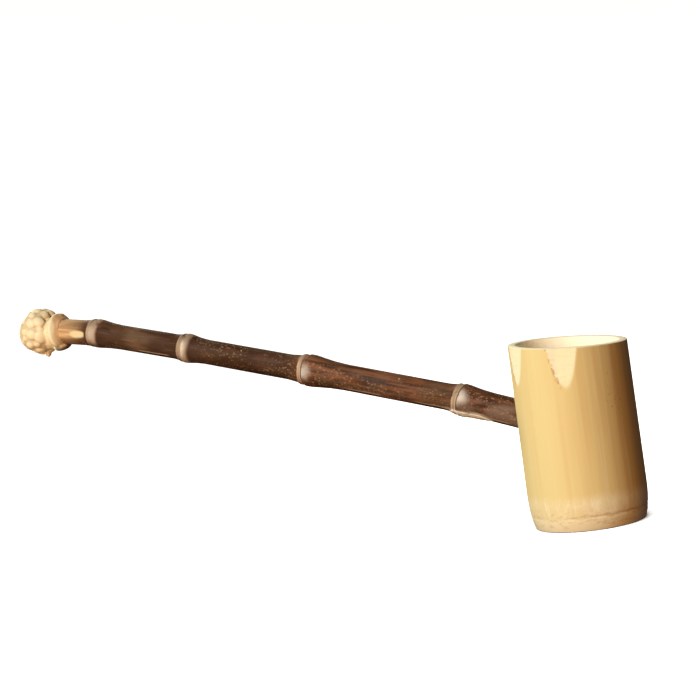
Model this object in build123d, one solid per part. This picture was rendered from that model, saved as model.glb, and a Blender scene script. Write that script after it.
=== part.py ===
from build123d import *
import math
import os

# A bamboo water dipper. The cup stands upright on z = 0 with its axis on Z, and the handle leaves it
# towards -X, rising. The cup is one culm section closed by its own node, the handle is one thinner
# culm with its root stock, and a whittled peg locks the handle's tenon inside the cup.

# Cup: its wall swells a little above the node and draws in below it, towards the foot
rim_radius = 27.5
cup_height = 84.5
cup_wall = 3.8
belly_swell = 0.4
belly_height = 17.0
node_draw = 0.2
node_height = 6.4
node_groove_width = 1.4
node_groove_depth = 0.3
foot_draw = 1.7
foot_bevel = 1.0
rim_lean = 4.5
rim_chamfer = 0.5

# Natural diaphragm that closes the cup, and the shallow recess that is left under it
floor_thickness = 4.2
floor_dish = 0.8
floor_corner = 5.0
foot_ring_width = 4.3
recess_depth = 3.2
recess_bevel = 1.2

# Knife-pared pouring flats on the outside of the rim
flat_depth = 1.0
flat_length = 19.5
flat_angles = (-72.0, -130.0)

# Handle: how high its line enters the cup's wall, and the slopes of its stretches up to the knob
entry_height = 52.3
slopes = (17.0, 14.1, 13.7, 13.0, 7.8, -3.4)
bend_radius = 60.0

# Lengths along the handle, from the cup's wall to the first node and on from node to node
first_stretch = 33.6
second_internode = 88.2
third_internode = 75.7
fourth_internode = 60.5
neck_length = 23.8
collar_length = 7.0
knob_length = 20.3

# Culm radii between the nodes, and of each node's swelling
culm_radii = (6.8, 6.55, 6.45, 6.6, 6.9)
swelling_radii = (7.8, 8.2, 7.8, 7.8)
swelling_lengths = (17.0, 24.0, 14.0, 18.0)
swelling_lift = 0.15

# One node's outline, from its knob side to its cup side: place as a share of the swelling's length,
# height as a share of the swelling. First the thin sheath ring, then the groove, then the swelling.
node_outline_shares = (
    (-0.4, 0.0),
    (-0.12, 0.36),
    (-0.05, 0.8),
    (-0.01, 0.8),
    (0.02, 0.45),
    (0.1, 1.0),
    (0.22, 0.95),
    (0.42, 0.6),
    (0.65, 0.24),
    (1.0, 0.0),
)

# Bud scar, scooped out of the neck's near side by a round knife cut
scar_beyond_node = 8.9
scar_depth = 0.45
scar_length = 11.0
scar_turn = -8.0

# Root knob: a ridged collar, then the ball, which grows more above the handle's line than below it.
# Their outlines are shares of their lengths and radii.
collar_radius = 10.3
collar_shoulder = 2.4
collar_outline_shares = (
    (0.0, 0.96),
    (0.12, 1.0),
    (0.5, 1.0),
    (0.68, 0.9),
    (1.0, 0.9),
)
knob_radius = 12.2
knob_lift = 2.5
knob_outline_shares = (
    (0.06, 0.84),
    (0.18, 0.95),
    (0.34, 1.0),
    (0.53, 0.96),
    (0.72, 0.83),
    (0.88, 0.62),
    (0.98, 0.4),
)

# Trimmed root stubs on the ball, in rings: angle from the handle's line, and number in the ring
stub_base_radius = 2.4
stub_tip_radius = 2.0
stub_rise = 0.9
stub_root = 2.0
stub_sides = 8
stub_size_shares = (1.0, 0.88, 1.08, 0.94)
stub_centre_share = 0.36
stub_rings = ((0.0, 1), (26.0, 6), (50.0, 10), (75.0, 13), (99.0, 13), (123.0, 11))
stub_turn = 17.0
spur_tilt = 96.0
spur_length = 2.2
spur_radius = 1.9

# Flat that the knife leaves on the ball's upper near side: how far it turns round the handle's line and
# tips away from it, and how deep it goes below the stubs' tips
facet_turn = 56.0
facet_tilt = 59.0
facet_cut = 1.5

# Tenon, lumen and peg
tenon_radius = 5.0
tenon_overlap = 6.0
tenon_beyond_peg = 3.4
tenon_chamfer = 0.5
lumen_radius = 1.3
peg_length = 22.0
peg_head_radius = 1.7
peg_tip_radius = 1.4
peg_chamfer = 0.3

# Fits
tenon_clearance = 0.08
shoulder_clearance = 0.05
peg_clearance = 0.04
overrun = 10.0

# Places that follow from the sizes above
foot_radius = rim_radius - foot_draw
node_radius = rim_radius - node_draw
belly_radius = rim_radius + belly_swell
inner_radius = rim_radius - cup_wall
on_foot = (Align.CENTER, Align.CENTER, Align.MIN)


def cup_body(growth):
    """The cup's outer shape as one full solid, moved out by growth."""
    top = cup_height + overrun
    foot = (foot_radius + growth, foot_bevel)
    node = (node_radius + growth, node_height)
    belly = (belly_radius + growth, belly_height)
    side = Line(belly, (rim_radius + growth, top))
    flare = Spline(foot, node, belly, tangents=((node_radius - foot_radius, node_height), side % 0))
    rest = Polyline(side @ 1, (0, top), (0, 0), (foot_radius + growth - foot_bevel, 0), foot)
    return revolve(make_face(Plane.XZ * Curve([flare, side, rest])), Axis.Z)


def cup_hollow():
    """The space inside the cup, above the dished diaphragm."""
    top = cup_height + overrun
    floor_middle = recess_depth + floor_thickness
    floor_edge = floor_middle + floor_dish
    dish_radius = inner_radius - floor_corner
    corner_top = (inner_radius, floor_edge + floor_corner)
    dish = ThreePointArc(
        (0, floor_middle),
        (dish_radius / 2, floor_middle + floor_dish / 4),
        (dish_radius, floor_edge),
    )
    corner = Bezier(dish @ 1, (inner_radius, floor_edge), corner_top)
    sides = Polyline(corner_top, (inner_radius, top), (0, top), dish @ 0)
    return revolve(make_face(Plane.XZ * Curve([dish, corner, sides])), Axis.Z)


def foot_recess():
    """The shallow hollow that the culm's wall leaves under the diaphragm."""
    plug = Cylinder(foot_radius - foot_ring_width, recess_depth, align=on_foot)
    return chamfer(plug.edges().sort_by(Axis.Z)[-1], recess_bevel)


def node_groove():
    """The shallow ring that the sheath's scar leaves round the cup's node."""
    mouth = node_radius + node_groove_depth
    low, high = node_height - node_groove_width, node_height + node_groove_width
    notch = Polyline((mouth, low), (node_radius - node_groove_depth, node_height), (mouth, high), close=True)
    return revolve(make_face(Plane.XZ * notch), Axis.Z)


def rim_height(angle):
    """Height of the oblique rim on the outer wall, at an angle from +X."""
    return cup_height - rim_radius * math.cos(math.radians(angle)) * math.tan(math.radians(rim_lean))


def pared_flat(angle):
    """The wood that the knife takes off to make one pouring flat."""
    wall_growth = belly_swell * flat_length / (cup_height - belly_height)
    lean = math.atan2(flat_depth + wall_growth, flat_length)
    outward = Vector(math.cos(math.radians(angle)), math.sin(math.radians(angle)), 0)
    normal = outward * math.cos(lean) + Vector(0, 0, math.sin(lean))
    start = outward * (rim_radius - flat_depth) + Vector(0, 0, rim_height(angle))
    block = Box(2 * rim_radius, 2 * cup_height, overrun, align=on_foot)
    return Plane(start, x_dir=outward.cross(Vector(0, 0, 1)), z_dir=normal) * block


def heading(slope):
    """Direction of a stretch of the handle, away from the cup."""
    return Vector(-math.cos(math.radians(slope)), 0, math.sin(math.radians(slope)))


def wall_reach():
    """Distance along the handle's line from the cup's axis to the outside of its wall."""
    return rim_radius / math.cos(math.radians(slopes[0]))


def tenon_plane(distance):
    """Plane square to the tenon, at a distance from the cup's axis."""
    entry = Vector(-rim_radius, 0, entry_height)
    place = entry + heading(slopes[0]) * (distance - wall_reach())
    return Plane(place, x_dir=(0, -1, 0), z_dir=heading(slopes[0]))


def handle_line():
    """The handle's line: from the cup's axis through the four nodes and the collar to the knob's end."""
    internodes = (second_internode, third_internode, fourth_internode)
    lengths = (wall_reach() + first_stretch, *internodes, neck_length, collar_length + knob_length)
    points = [tenon_plane(0).origin]
    for length, slope in zip(lengths, slopes):
        points.append(points[-1] + heading(slope) * length)
    return FilletPolyline(*points, radius=bend_radius)


def culm_plane(line, distance):
    """Plane square to the handle's line, with its y up."""
    place = line.position_at(distance, PositionMode.LENGTH)
    return Plane(place, x_dir=(0, -1, 0), z_dir=line.tangent_at(distance, PositionMode.LENGTH))


def node_stations(place, index):
    """Distance, radius and lift of one node's rings, from its cup side outwards."""
    near, far = culm_radii[index], culm_radii[index + 1]
    length = swelling_lengths[index]
    stations = []
    for along, height in reversed(node_outline_shares):
        base = near if along > 0 else far
        radius = base + (swelling_radii[index] - base) * height
        stations.append((place - along * length, radius, swelling_lift * height))
    return stations


def knob_stations(start):
    """Distance, radius and lift of the rings of the collar and the ball."""
    stations = [(start - collar_shoulder, culm_radii[-1], 0)]
    for along, height in collar_outline_shares:
        stations.append((start + along * collar_length, collar_radius * height, 0))
    ball_start = start + collar_length
    for along, height in knob_outline_shares:
        stations.append((ball_start + along * knob_length, knob_radius * height, knob_lift * height))
    return stations


def culm_with_knob(line):
    """The handle before its cup end is cut: internodes, nodes, neck, collar and ball."""
    places = [wall_reach() + first_stretch]
    for internode in (second_internode, third_internode, fourth_internode):
        places.append(places[-1] + internode)
    stations = [(inner_radius, culm_radii[0], 0)]
    for index, place in enumerate(places):
        stations += node_stations(place, index)
    stations += knob_stations(places[-1] + neck_length)
    rings = [culm_plane(line, at) * Pos(0, lift) * Circle(radius) for at, radius, lift in stations]
    return loft(rings, ruled=True)


def root_stub(base, tip, rise):
    """One knife-trimmed root stub, rooted below the ball's surface and standing up along Z."""
    root = knob_radius - stub_root
    lower = Pos(0, 0, root) * RegularPolygon(base, stub_sides)
    upper = Pos(0, 0, knob_radius + rise) * RegularPolygon(tip, stub_sides)
    return loft([lower, upper], ruled=True)


def root_stubs(line):
    """The stubs all over the ball, ring by ring, and the longer spur below its collar."""
    middle = culm_plane(line, line.length - knob_length * (1 - stub_centre_share))
    sizes = [
        root_stub(stub_base_radius * share, stub_tip_radius * share, stub_rise * share)
        for share in stub_size_shares
    ]
    spur = root_stub(stub_base_radius, spur_radius, spur_length)
    stubs = [middle * Pos(0, knob_lift) * Rot(spur_tilt, 0, 0) * spur]
    for ring, (tilt, count) in enumerate(stub_rings):
        ball = middle * Pos(0, knob_lift * math.sin(math.radians(tilt)))
        for step in range(count):
            turn = ring * stub_turn + step * 360 / count
            stub = sizes[(ring + step) % len(sizes)]
            stubs.append(ball * Rot(0, 0, turn) * Rot(0, tilt, 0) * stub)
    return stubs


def knob_facet(line):
    """The wood that one knife cut takes off the ball and its stubs."""
    ball = culm_plane(line, line.length - knob_length * (1 - stub_centre_share)) * Pos(0, knob_lift)
    cut = Pos(0, 0, knob_radius + stub_rise - facet_cut) * Cylinder(knob_radius, knob_radius, align=on_foot)
    return ball * Rot(0, 0, facet_turn) * Rot(0, facet_tilt, 0) * cut


def bud_scar(line):
    """The wood that a round knife cut takes off the neck, where a bud was."""
    node_to_end = neck_length + collar_length + knob_length
    middle = culm_plane(line, line.length - node_to_end + scar_beyond_node)
    scoop_radius = (scar_length**2 / 4 + scar_depth**2) / (2 * scar_depth)
    scoop = Rot(90, 0, 0) * Cylinder(scoop_radius, 2 * culm_radii[-1])
    return middle * Rot(0, 0, scar_turn) * Pos(culm_radii[-1] - scar_depth + scoop_radius, 0, 0) * scoop


def peg_reach():
    """Distance of the peg from the cup's axis, along the tenon: its ends bear on the curved wall."""
    chord = math.sqrt(inner_radius**2 - (peg_length / 2) ** 2)
    return (chord - peg_head_radius - peg_clearance) / math.cos(math.radians(slopes[0]))


def peg(growth):
    """The whittled peg, thicker at its head, grown all round by growth."""
    length = peg_length + 2 * growth
    body = Cone(peg_head_radius + growth, peg_tip_radius + growth, length)
    place = tenon_plane(peg_reach()).origin
    return Plane(place, x_dir=(0, 0, 1), z_dir=(0, 1, 0)) * body


def make_cup():
    """Culm section with its floor, oblique rim, pouring flats, node groove and handle hole."""
    cup = cup_body(0) - cup_hollow() - foot_recess()
    lean = math.radians(rim_lean)
    rim_plane = Plane((0, 0, cup_height), z_dir=(math.sin(lean), 0, math.cos(lean)))
    cup = split(cup, rim_plane, keep=Keep.BOTTOM)
    rim_face = cup.faces().sort_by(Axis((0, 0, 0), rim_plane.z_dir))[-1]
    cup = chamfer(rim_face.edges(), rim_chamfer)
    cup -= node_groove()
    for angle in flat_angles:
        cup -= pared_flat(angle)
    hole = Cylinder(tenon_radius + tenon_clearance, wall_reach() + overrun, align=on_foot)
    return cup - tenon_plane(0) * hole


def make_handle():
    """Culm, nodes and root knob, with the coped shoulder, tenon, lumen and peg bore."""
    line = handle_line()
    handle = culm_with_knob(line) + root_stubs(line)
    handle -= knob_facet(line)
    handle -= bud_scar(line)
    handle -= cup_body(shoulder_clearance)
    tenon_end = peg_reach() - peg_head_radius - tenon_beyond_peg
    tenon = Cylinder(tenon_radius, wall_reach() + tenon_overlap - tenon_end, align=on_foot)
    tenon = chamfer(tenon.edges().sort_by(Axis.Z)[0], tenon_chamfer)
    handle += tenon_plane(tenon_end) * tenon
    lumen_length = wall_reach() + first_stretch - swelling_lengths[0] / 2 - tenon_end
    lumen = Cylinder(lumen_radius, lumen_length, align=on_foot)
    handle -= tenon_plane(tenon_end) * lumen
    return handle - peg(peg_clearance)


def make_peg():
    """The locking peg with both ends eased."""
    body = peg(0)
    return chamfer(body.edges().filter_by(GeomType.CIRCLE), peg_chamfer)


os.makedirs("parts", exist_ok=True)
for name, make in (("cup", make_cup), ("handle", make_handle), ("locking_peg", make_peg)):
    export_step(make(), f"parts/{name}.step")
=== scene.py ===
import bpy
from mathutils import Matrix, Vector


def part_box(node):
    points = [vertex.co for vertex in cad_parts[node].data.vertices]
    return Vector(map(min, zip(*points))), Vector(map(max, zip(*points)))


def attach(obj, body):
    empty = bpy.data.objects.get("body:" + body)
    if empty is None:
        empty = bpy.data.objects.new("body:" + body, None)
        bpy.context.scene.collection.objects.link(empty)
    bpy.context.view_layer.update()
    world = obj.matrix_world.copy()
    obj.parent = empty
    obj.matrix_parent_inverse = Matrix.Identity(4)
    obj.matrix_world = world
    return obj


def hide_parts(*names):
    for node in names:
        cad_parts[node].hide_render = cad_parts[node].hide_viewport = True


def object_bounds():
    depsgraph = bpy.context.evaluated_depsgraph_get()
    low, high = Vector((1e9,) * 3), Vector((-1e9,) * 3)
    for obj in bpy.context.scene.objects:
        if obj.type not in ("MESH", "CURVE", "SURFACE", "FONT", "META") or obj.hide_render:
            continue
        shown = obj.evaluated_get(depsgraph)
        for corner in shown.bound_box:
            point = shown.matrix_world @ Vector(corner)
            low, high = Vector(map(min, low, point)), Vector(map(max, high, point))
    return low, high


bl_info = {
    "name": "Bamboo water dipper",
    "version": (1, 0, 0),
    "blender": (4, 5, 0),
    "location": "3D View > Sidebar > Dipper",
    "description": "Dresses the packed bamboo water dipper: cup, culm handle, root knob and locking peg",
    "category": "Object",
}

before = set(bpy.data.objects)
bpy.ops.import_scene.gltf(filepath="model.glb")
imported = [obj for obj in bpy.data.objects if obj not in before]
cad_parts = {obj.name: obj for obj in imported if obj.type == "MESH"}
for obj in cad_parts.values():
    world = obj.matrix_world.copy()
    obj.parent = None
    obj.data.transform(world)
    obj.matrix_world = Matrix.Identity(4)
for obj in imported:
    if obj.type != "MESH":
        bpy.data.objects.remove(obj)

import math
from typing import NamedTuple

import bmesh
import bpy
import numpy as np
from bpy.props import FloatProperty, FloatVectorProperty, IntProperty, PointerProperty
from mathutils import Matrix, Vector, noise

MM = 0.001
UP = Vector((0, 0, 1))
BODY = "root"
PHOTO_WIDTH = 700.0

cad_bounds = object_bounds()
cup_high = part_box("cup")[1]
peg_low, peg_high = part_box("locking_peg")


# Properties: sizes are in millimetres where they are written, and in metres inside Blender

def length(name, millimetres, description):
    """A property that holds a length."""
    return FloatProperty(
        name=name, description=description, default=millimetres * MM, unit="LENGTH", precision=5
    )


def turn(name, degrees, description):
    """A property that holds an angle."""
    return FloatProperty(name=name, description=description, default=math.radians(degrees), subtype="ANGLE")


def linear(code):
    """Linear red, green and blue of a colour written as six hexadecimal digits."""
    shares = [int(code[at:at + 2], 16) / 255 for at in (0, 2, 4)]
    return [s / 12.92 if s <= 0.04045 else ((s + 0.055) / 1.055) ** 2.4 for s in shares]


def colour(name, code, description):
    """A property that holds a colour."""
    return FloatVectorProperty(
        name=name, description=description, default=linear(code), subtype="COLOR", size=3, min=0.0, max=1.0
    )


class CupSizes(bpy.types.PropertyGroup):
    belly_radius: FloatProperty(
        name="Belly radius",
        description="Widest outside radius, above the node",
        default=cup_high.y,
        unit="LENGTH",
    )
    rim_radius: length("Rim radius", 27.5, "Outside radius at the rim")
    height: length("Height", 84.5, "Height of the rim on the cup's axis")
    wall: length("Wall", 3.8, "Thickness of the culm's wall")
    belly_height: length("Belly height", 17.0, "Height where the cup is widest")
    foot_radius: length("Foot radius", 25.8, "Outside radius at the foot")
    foot_bevel: length("Foot bevel", 1.0, "Eased edge round the foot")
    foot_ring: length("Foot ring", 4.3, "Width of the ring that the cup stands on")
    rim_lean: turn("Rim lean", 4.5, "Slope of the rim, higher on the handle's side")
    rim_ease: length("Rim ease", 0.5, "Eased edge along the rim")
    floor: length("Floor", 4.2, "Thickness of the natural diaphragm")
    dish: length("Dish", 0.8, "Depth of the dished diaphragm")
    corner: length("Floor corner", 5.0, "Radius of the corner inside the cup")
    recess: length("Recess", 3.2, "Depth of the hollow under the diaphragm")
    recess_bevel: length("Recess bevel", 1.2, "Bevel inside the hollow under the cup")
    node_height: length("Node height", 6.4, "Height of the sheath's scar")
    groove: length("Groove", 0.18, "Depth of the sheath's scar")
    flat_depth: length("Flat depth", 1.0, "Depth of the pouring flats at the rim")
    flat_length: length("Flat length", 19.5, "Length of the pouring flats")
    near_flat: turn("Near flat", -72.0, "Direction of the front pouring flat")
    side_flat: turn("Side flat", -130.0, "Direction of the pouring flat beside it")
    speck_turn: turn("Speck turn", -25.0, "Direction of the patch of brown specks")
    speck_height: length("Speck height", 61.0, "Height of the patch of brown specks")
    sides: IntProperty(name="Sides", description="Faces round the cup", default=360, min=24)


class HandleSizes(bpy.types.PropertyGroup):
    entry_height: length("Entry height", 52.3, "Height of the handle's line at the cup's wall")
    bend_radius: length("Bend radius", 60.0, "Radius of the bend at each node")
    first_stretch: length("First stretch", 33.6, "From the cup's wall to the first node")
    second_internode: length("Second internode", 88.2, "From the first node to the second")
    third_internode: length("Third internode", 75.7, "From the second node to the third")
    fourth_internode: length("Fourth internode", 60.5, "From the third node to the fourth")
    neck: length("Neck", 23.8, "From the fourth node to the root collar")
    tenon_radius: length("Tenon radius", 5.0, "Radius of the tenon")
    tenon_clearance: length("Tenon clearance", 0.08, "Gap between the tenon and its hole")
    shoulder_clearance: length("Shoulder clearance", 0.05, "Gap between the coped shoulder and the cup")
    tenon_beyond_peg: length("Tenon beyond peg", 3.4, "Wood left between the peg and the tenon's end")
    tenon_ease: length("Tenon ease", 0.5, "Eased edge of the tenon's end")
    lumen_radius: length("Lumen radius", 1.3, "Radius of the culm's hollow")
    lumen_depth: length("Lumen depth", 9.0, "Depth of the hollow that shows in the tenon's end")
    relief: length("Relief", 0.16, "Height of the fine ridges along the culm")
    ridge: length("Ridge", 0.9, "Width of the fine ridges along the culm")
    scar_beyond_node: length("Scar beyond node", 8.9, "From the fourth node to the middle of the neck's cut")
    scar_depth: length("Scar depth", 0.45, "Depth of the knife cut on the neck")
    scar_length: length("Scar length", 11.0, "Length of the knife cut on the neck")
    sides: IntProperty(name="Sides", description="Faces round the culm", default=96, min=12)
    seed: IntProperty(name="Seed", description="Seed of the culm's relief", default=7)


class KnobSizes(bpy.types.PropertyGroup):
    collar_length: length("Collar length", 7.0, "Length of the ridged collar")
    collar_radius: length("Collar radius", 10.3, "Radius of the ridged collar")
    length: length("Knob length", 20.3, "Length of the ball of trimmed roots")
    radius: length("Knob radius", 12.2, "Radius of the ball of trimmed roots")
    lift: length("Knob lift", 2.5, "How far the ball grows above the handle's line")
    stub_radius: length("Stub radius", 3.3, "Radius of one trimmed root")
    stub_height: length("Stub height", 0.8, "How far a trimmed root stands above the ball")
    facet_turn: turn("Facet turn", 56.0, "Direction of the knife's flat round the handle's line")
    facet_tilt: turn("Facet tilt", 59.0, "How far the knife's flat tips away from the handle's line")
    facet_depth: length("Facet depth", 0.6, "How deep the knife's flat goes below the ball's surface")
    spur: length("Spur", 2.2, "How far the longest root stub stands out")
    voxel: length("Voxel", 0.3, "Grain of the grown surface")
    seed: IntProperty(name="Seed", description="Seed of the stubs' unevenness", default=11)


class PegSizes(bpy.types.PropertyGroup):
    head_radius: length("Head radius", 1.7, "Radius at the thick end")
    tip_radius: length("Tip radius", 1.4, "Radius at the thin end")
    ease: length("Ease", 0.3, "Eased edge at both ends")
    facets: IntProperty(name="Facets", description="Knife facets round the peg", default=9, min=5)
    seed: IntProperty(name="Seed", description="Seed of the facets' unevenness", default=3)


class BambooColours(bpy.types.PropertyGroup):
    skinned: colour("Skinned culm", "E2CE91", "Cup's outside, where the skin is scraped off")
    skinned_deep: colour("Skinned culm, deep", "DDBB7D", "Deeper streaks on the cup's outside")
    # Browner streaks: partly the bamboo's own colour, partly painted shade on the cup's side away from the
    # handle
    brown_streak_and_shade: colour("Streak", "C4935A", "Browner streaks on the cup's far side")
    tan: colour("Tan", "A9713A", "Brown marks of the cup's node")
    cream: colour("Cream", "F3E4BE", "Pale flecks and the foot's band")
    inside: colour("Inside", "FDF4DE", "Inside of the cup")
    pared: colour("Pared", "EDEAC2", "Freshly pared wood of the flats")
    pared_warm: colour("Pared, warm", "F0E4C2", "Torn side of the flats")
    end_grain: colour("End grain", "F6E9C8", "Cut end of the culm's wall")
    bark: colour("Bark", "442813", "Main brown of the handle's outer half")
    bark_red: colour("Red bark", "76482C", "Redder brown of the handle's half beside the cup")
    bark_deep: colour("Deep bark", "371E0F", "Darkest brown of the handle")
    bark_olive: colour("Olive bark", "423016", "Greenish clouds on the handle")
    bark_mauve: colour("Mauve bark", "7A6252", "Pinkish clouds on the handle")
    speckle: colour("Speckle", "BF9A76", "Small pale specks on the handle")
    sheath: colour("Sheath ring", "C4A88C", "Rings that the sheaths leave at the nodes")
    # Bloom colour: waxy bloom, and painted highlight on the lit side of each node
    bloom: colour("Bloom", "DACFC3", "Waxy bloom beside each node")
    scar: colour("Bud scar", "D2BA8E", "Knife cut on the neck")
    branch: colour("Branch scar", "F4EAD8", "Long scar of the cut branch")
    neck: colour("Neck", "CFA274", "Handle beside the root knob")
    root: colour("Root", "E0C9A2", "Trimmed root stubs")
    root_groove: colour("Root groove", "C9B087", "Hollows between the stubs")


class StudioSettings(bpy.types.PropertyGroup):
    azimuth: turn("Azimuth", 32.01, "Direction that the camera looks from")
    elevation: turn("Elevation", 3.202, "Camera's height above the horizon")
    roll: turn("Roll", -8.084, "Tilt of the camera")
    distance: length("Distance", 819.64, "From the camera to the middle of the cup")
    lens: FloatProperty(name="Lens", description="Focal length in millimetres", default=90.1)
    target_height: length("Target height", 40.0, "Height of the middle of the cup")
    target_x: FloatProperty(
        name="Target across", description="Cup's middle in the picture, pixels from its left", default=579.76
    )
    target_y: FloatProperty(
        name="Target down", description="Cup's middle in the picture, pixels from its top", default=436.52
    )
    floor_radius: length("Floor radius", 1500.0, "Radius of the pale floor before it curves up")
    sweep_radius: length("Sweep radius", 900.0, "Radius of the curve from the floor to the wall")


# Node trees

class Wire:
    """One output of a node. A sum on it adds Math nodes."""

    def __init__(self, tree, socket):
        self.tree = tree
        self.socket = socket

    def math(self, operation, first, second=0.0):
        return self.tree.node("ShaderNodeMath", {"operation": operation}, {0: first, 1: second})

    def __add__(self, other):
        return self.math("ADD", self, other)

    __radd__ = __add__

    def __sub__(self, other):
        return self.math("SUBTRACT", self, other)

    def __rsub__(self, other):
        return self.math("SUBTRACT", other, self)

    def __mul__(self, other):
        return self.math("MULTIPLY", self, other)

    __rmul__ = __mul__

    def __truediv__(self, other):
        return self.math("DIVIDE", self, other)

    def __rtruediv__(self, other):
        return self.math("DIVIDE", other, self)

    def __abs__(self):
        return self.math("ABSOLUTE", self)

    def most(self, other):
        return self.math("MAXIMUM", self, other)

    def ramp(self, low, high):
        """0 below low, 1 above high and smooth between them; high may be the smaller."""
        inputs = {"Value": self, "From Min": low, "From Max": high}
        return self.tree.node("ShaderNodeMapRange", {"interpolation_type": "SMOOTHSTEP"}, inputs)

    def stretched(self, x, y, z):
        return self.tree.node("ShaderNodeVectorMath", {"operation": "MULTIPLY"}, {0: self, 1: (x, y, z)})

    def shifted(self, x, y, z):
        return self.tree.node("ShaderNodeVectorMath", {"operation": "ADD"}, {0: self, 1: (x, y, z)})

    def parts(self):
        split = self.tree.node("ShaderNodeSeparateXYZ", inputs={0: self}).socket.node
        return [Wire(self.tree, socket) for socket in split.outputs]


class Tree:
    """Adds nodes to one node tree."""

    COLOR_MIX = {"factor": 0, "first": 6, "second": 7, "result": 2}

    def __init__(self, made):
        self.made = made

    def node(self, kind, settings=None, inputs=None, output=0):
        """A new node: its settings first, then the values or wires of its sockets. Gives one output."""
        added = self.made.nodes.new(kind)
        for name, value in (settings or {}).items():
            setattr(added, name, value)
        for key, value in (inputs or {}).items():
            self.feed(added.inputs[key], value)
        return Wire(self, added.outputs[output]) if added.outputs else added

    def feed(self, socket, value):
        if isinstance(value, Wire):
            self.made.links.new(value.socket, socket)
        elif socket.type == "RGBA" and len(value) == 3:
            socket.default_value = (*value, 1.0)
        else:
            socket.default_value = value

    def noise(self, place, scale, detail=2.0, roughness=0.5):
        inputs = {"Vector": place, "Scale": scale, "Detail": detail, "Roughness": roughness}
        return self.node("ShaderNodeTexNoise", inputs=inputs)

    def cells(self, place, scale):
        """Distance from the middle of the nearest cell, which makes round specks."""
        inputs = {"Vector": place, "Scale": scale}
        return self.node("ShaderNodeTexVoronoi", {"feature": "F1"}, inputs, "Distance")

    def mix(self, share, first, second):
        keys = self.COLOR_MIX
        inputs = {keys["factor"]: share, keys["first"]: first, keys["second"]: second}
        return self.node("ShaderNodeMix", {"data_type": "RGBA"}, inputs, keys["result"])


class Finish(Tree):
    """A material that is built from wires."""

    def __init__(self, name):
        self.material = bpy.data.materials.new(name)
        self.material.use_nodes = True
        self.material.node_tree.nodes.clear()
        super().__init__(self.material.node_tree)

    def place(self):
        return self.node("ShaderNodeTexCoord", output="Object")

    def mask(self, name):
        return self.node("ShaderNodeAttribute", {"attribute_name": name}, output="Fac")

    def vector(self, name):
        return self.node("ShaderNodeAttribute", {"attribute_name": name}, output="Vector")

    def bump(self, height, depth, strength):
        inputs = {"Height": height, "Distance": depth, "Strength": strength}
        return self.node("ShaderNodeBump", inputs=inputs)

    def surface(self, **inputs):
        named = {name.replace("_", " "): value for name, value in inputs.items()}
        shader = self.node("ShaderNodeBsdfPrincipled", inputs=named)
        self.node("ShaderNodeOutputMaterial", inputs={"Surface": shader})
        return self.material


# Meshes

SHARP_ANGLE = math.radians(38)


def even_turns(count):
    """That many angles at even steps round a circle."""
    return np.linspace(0, 2 * math.pi, count, endpoint=False)


def turned_from(angles, direction):
    """How far each angle is turned from a direction, the short way round."""
    return (angles - direction + math.pi) % (2 * math.pi) - math.pi


def spaced(*spans):
    """Values from each span's start to its end, at about its step, without repeats."""
    runs = []
    for start, stop, step in spans:
        runs.append(np.linspace(start, stop, max(2, round(abs(stop - start) / step) + 1)))
    joined = np.concatenate(runs)
    kept = np.append(True, np.abs(np.diff(joined)) > 1e-9)
    return joined[kept]


def smooth(value, low, high):
    """0 below low, 1 above high and smooth between them."""
    share = np.clip((value - low) / (high - low), 0, 1)
    return share * share * (3 - 2 * share)


def wander(points, size, seed=0.0):
    """Smooth noise between -1 and 1 at each point, with waves of about that size."""
    shifted = points / size + seed
    return np.array([noise.noise(Vector(point)) for point in shifted])


def skin(name, rings, first=None, last=None):
    """A mesh through rings of points, closed at an end where a pole is given."""
    count, sides = rings.shape[:2]
    points = rings.reshape(-1, 3).tolist()
    corner = np.arange(count * sides).reshape(count, sides)
    turned = np.roll(corner, -1, axis=1)
    faces = np.stack([corner[:-1], turned[:-1], turned[1:], corner[1:]], axis=-1).reshape(-1, 4).tolist()
    for pole, ring, beside in ((first, turned[0], corner[0]), (last, corner[-1], turned[-1])):
        if pole is not None:
            faces += [[len(points), int(a), int(b)] for a, b in zip(ring, beside)]
            points.append(list(pole))
    mesh = bpy.data.meshes.new(name)
    mesh.from_pydata(points, [], faces)
    return mesh


def outward(mesh):
    """Turns all faces outwards."""
    work = bmesh.new()
    work.from_mesh(mesh)
    bmesh.ops.recalc_face_normals(work, faces=work.faces)
    work.to_mesh(mesh)
    work.free()


def spots(mesh):
    """The mesh's points as an array."""
    points = np.empty(len(mesh.vertices) * 3)
    mesh.vertices.foreach_get("co", points)
    return points.reshape(-1, 3)


def move(mesh, points):
    mesh.vertices.foreach_set("co", points.ravel())
    mesh.update()


def store(mesh, **named):
    """Keeps a number or a vector for each point of the mesh, under each of the names."""
    for name, values in named.items():
        vector = values.ndim == 2
        kept = mesh.attributes.new(name, "FLOAT_VECTOR" if vector else "FLOAT", "POINT")
        kept.data.foreach_set("vector" if vector else "value", values.astype(np.float32).ravel())


def stored(mesh, name):
    values = np.empty(len(mesh.vertices), np.float32)
    mesh.attributes[name].data.foreach_get("value", values)
    return values.astype(float)


def evaluated(owner):
    """A plain mesh of an object with its modifiers applied; the object goes."""
    graph = bpy.context.evaluated_depsgraph_get()
    mesh = bpy.data.meshes.new_from_object(
        owner.evaluated_get(graph), preserve_all_data_layers=True, depsgraph=graph
    )
    bpy.data.objects.remove(owner)
    return mesh


def scratch(name, mesh):
    """An object for a mesh that is still being worked on."""
    made = bpy.data.objects.new(name, mesh)
    bpy.context.scene.collection.objects.link(made)
    return made


def pieces_collection():
    """The collection of the dipper's pieces, which the studio's lamps shine on."""
    name = "dipper"
    if name not in bpy.data.collections:
        bpy.context.scene.collection.children.link(bpy.data.collections.new(name))
    return bpy.data.collections[name]


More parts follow.
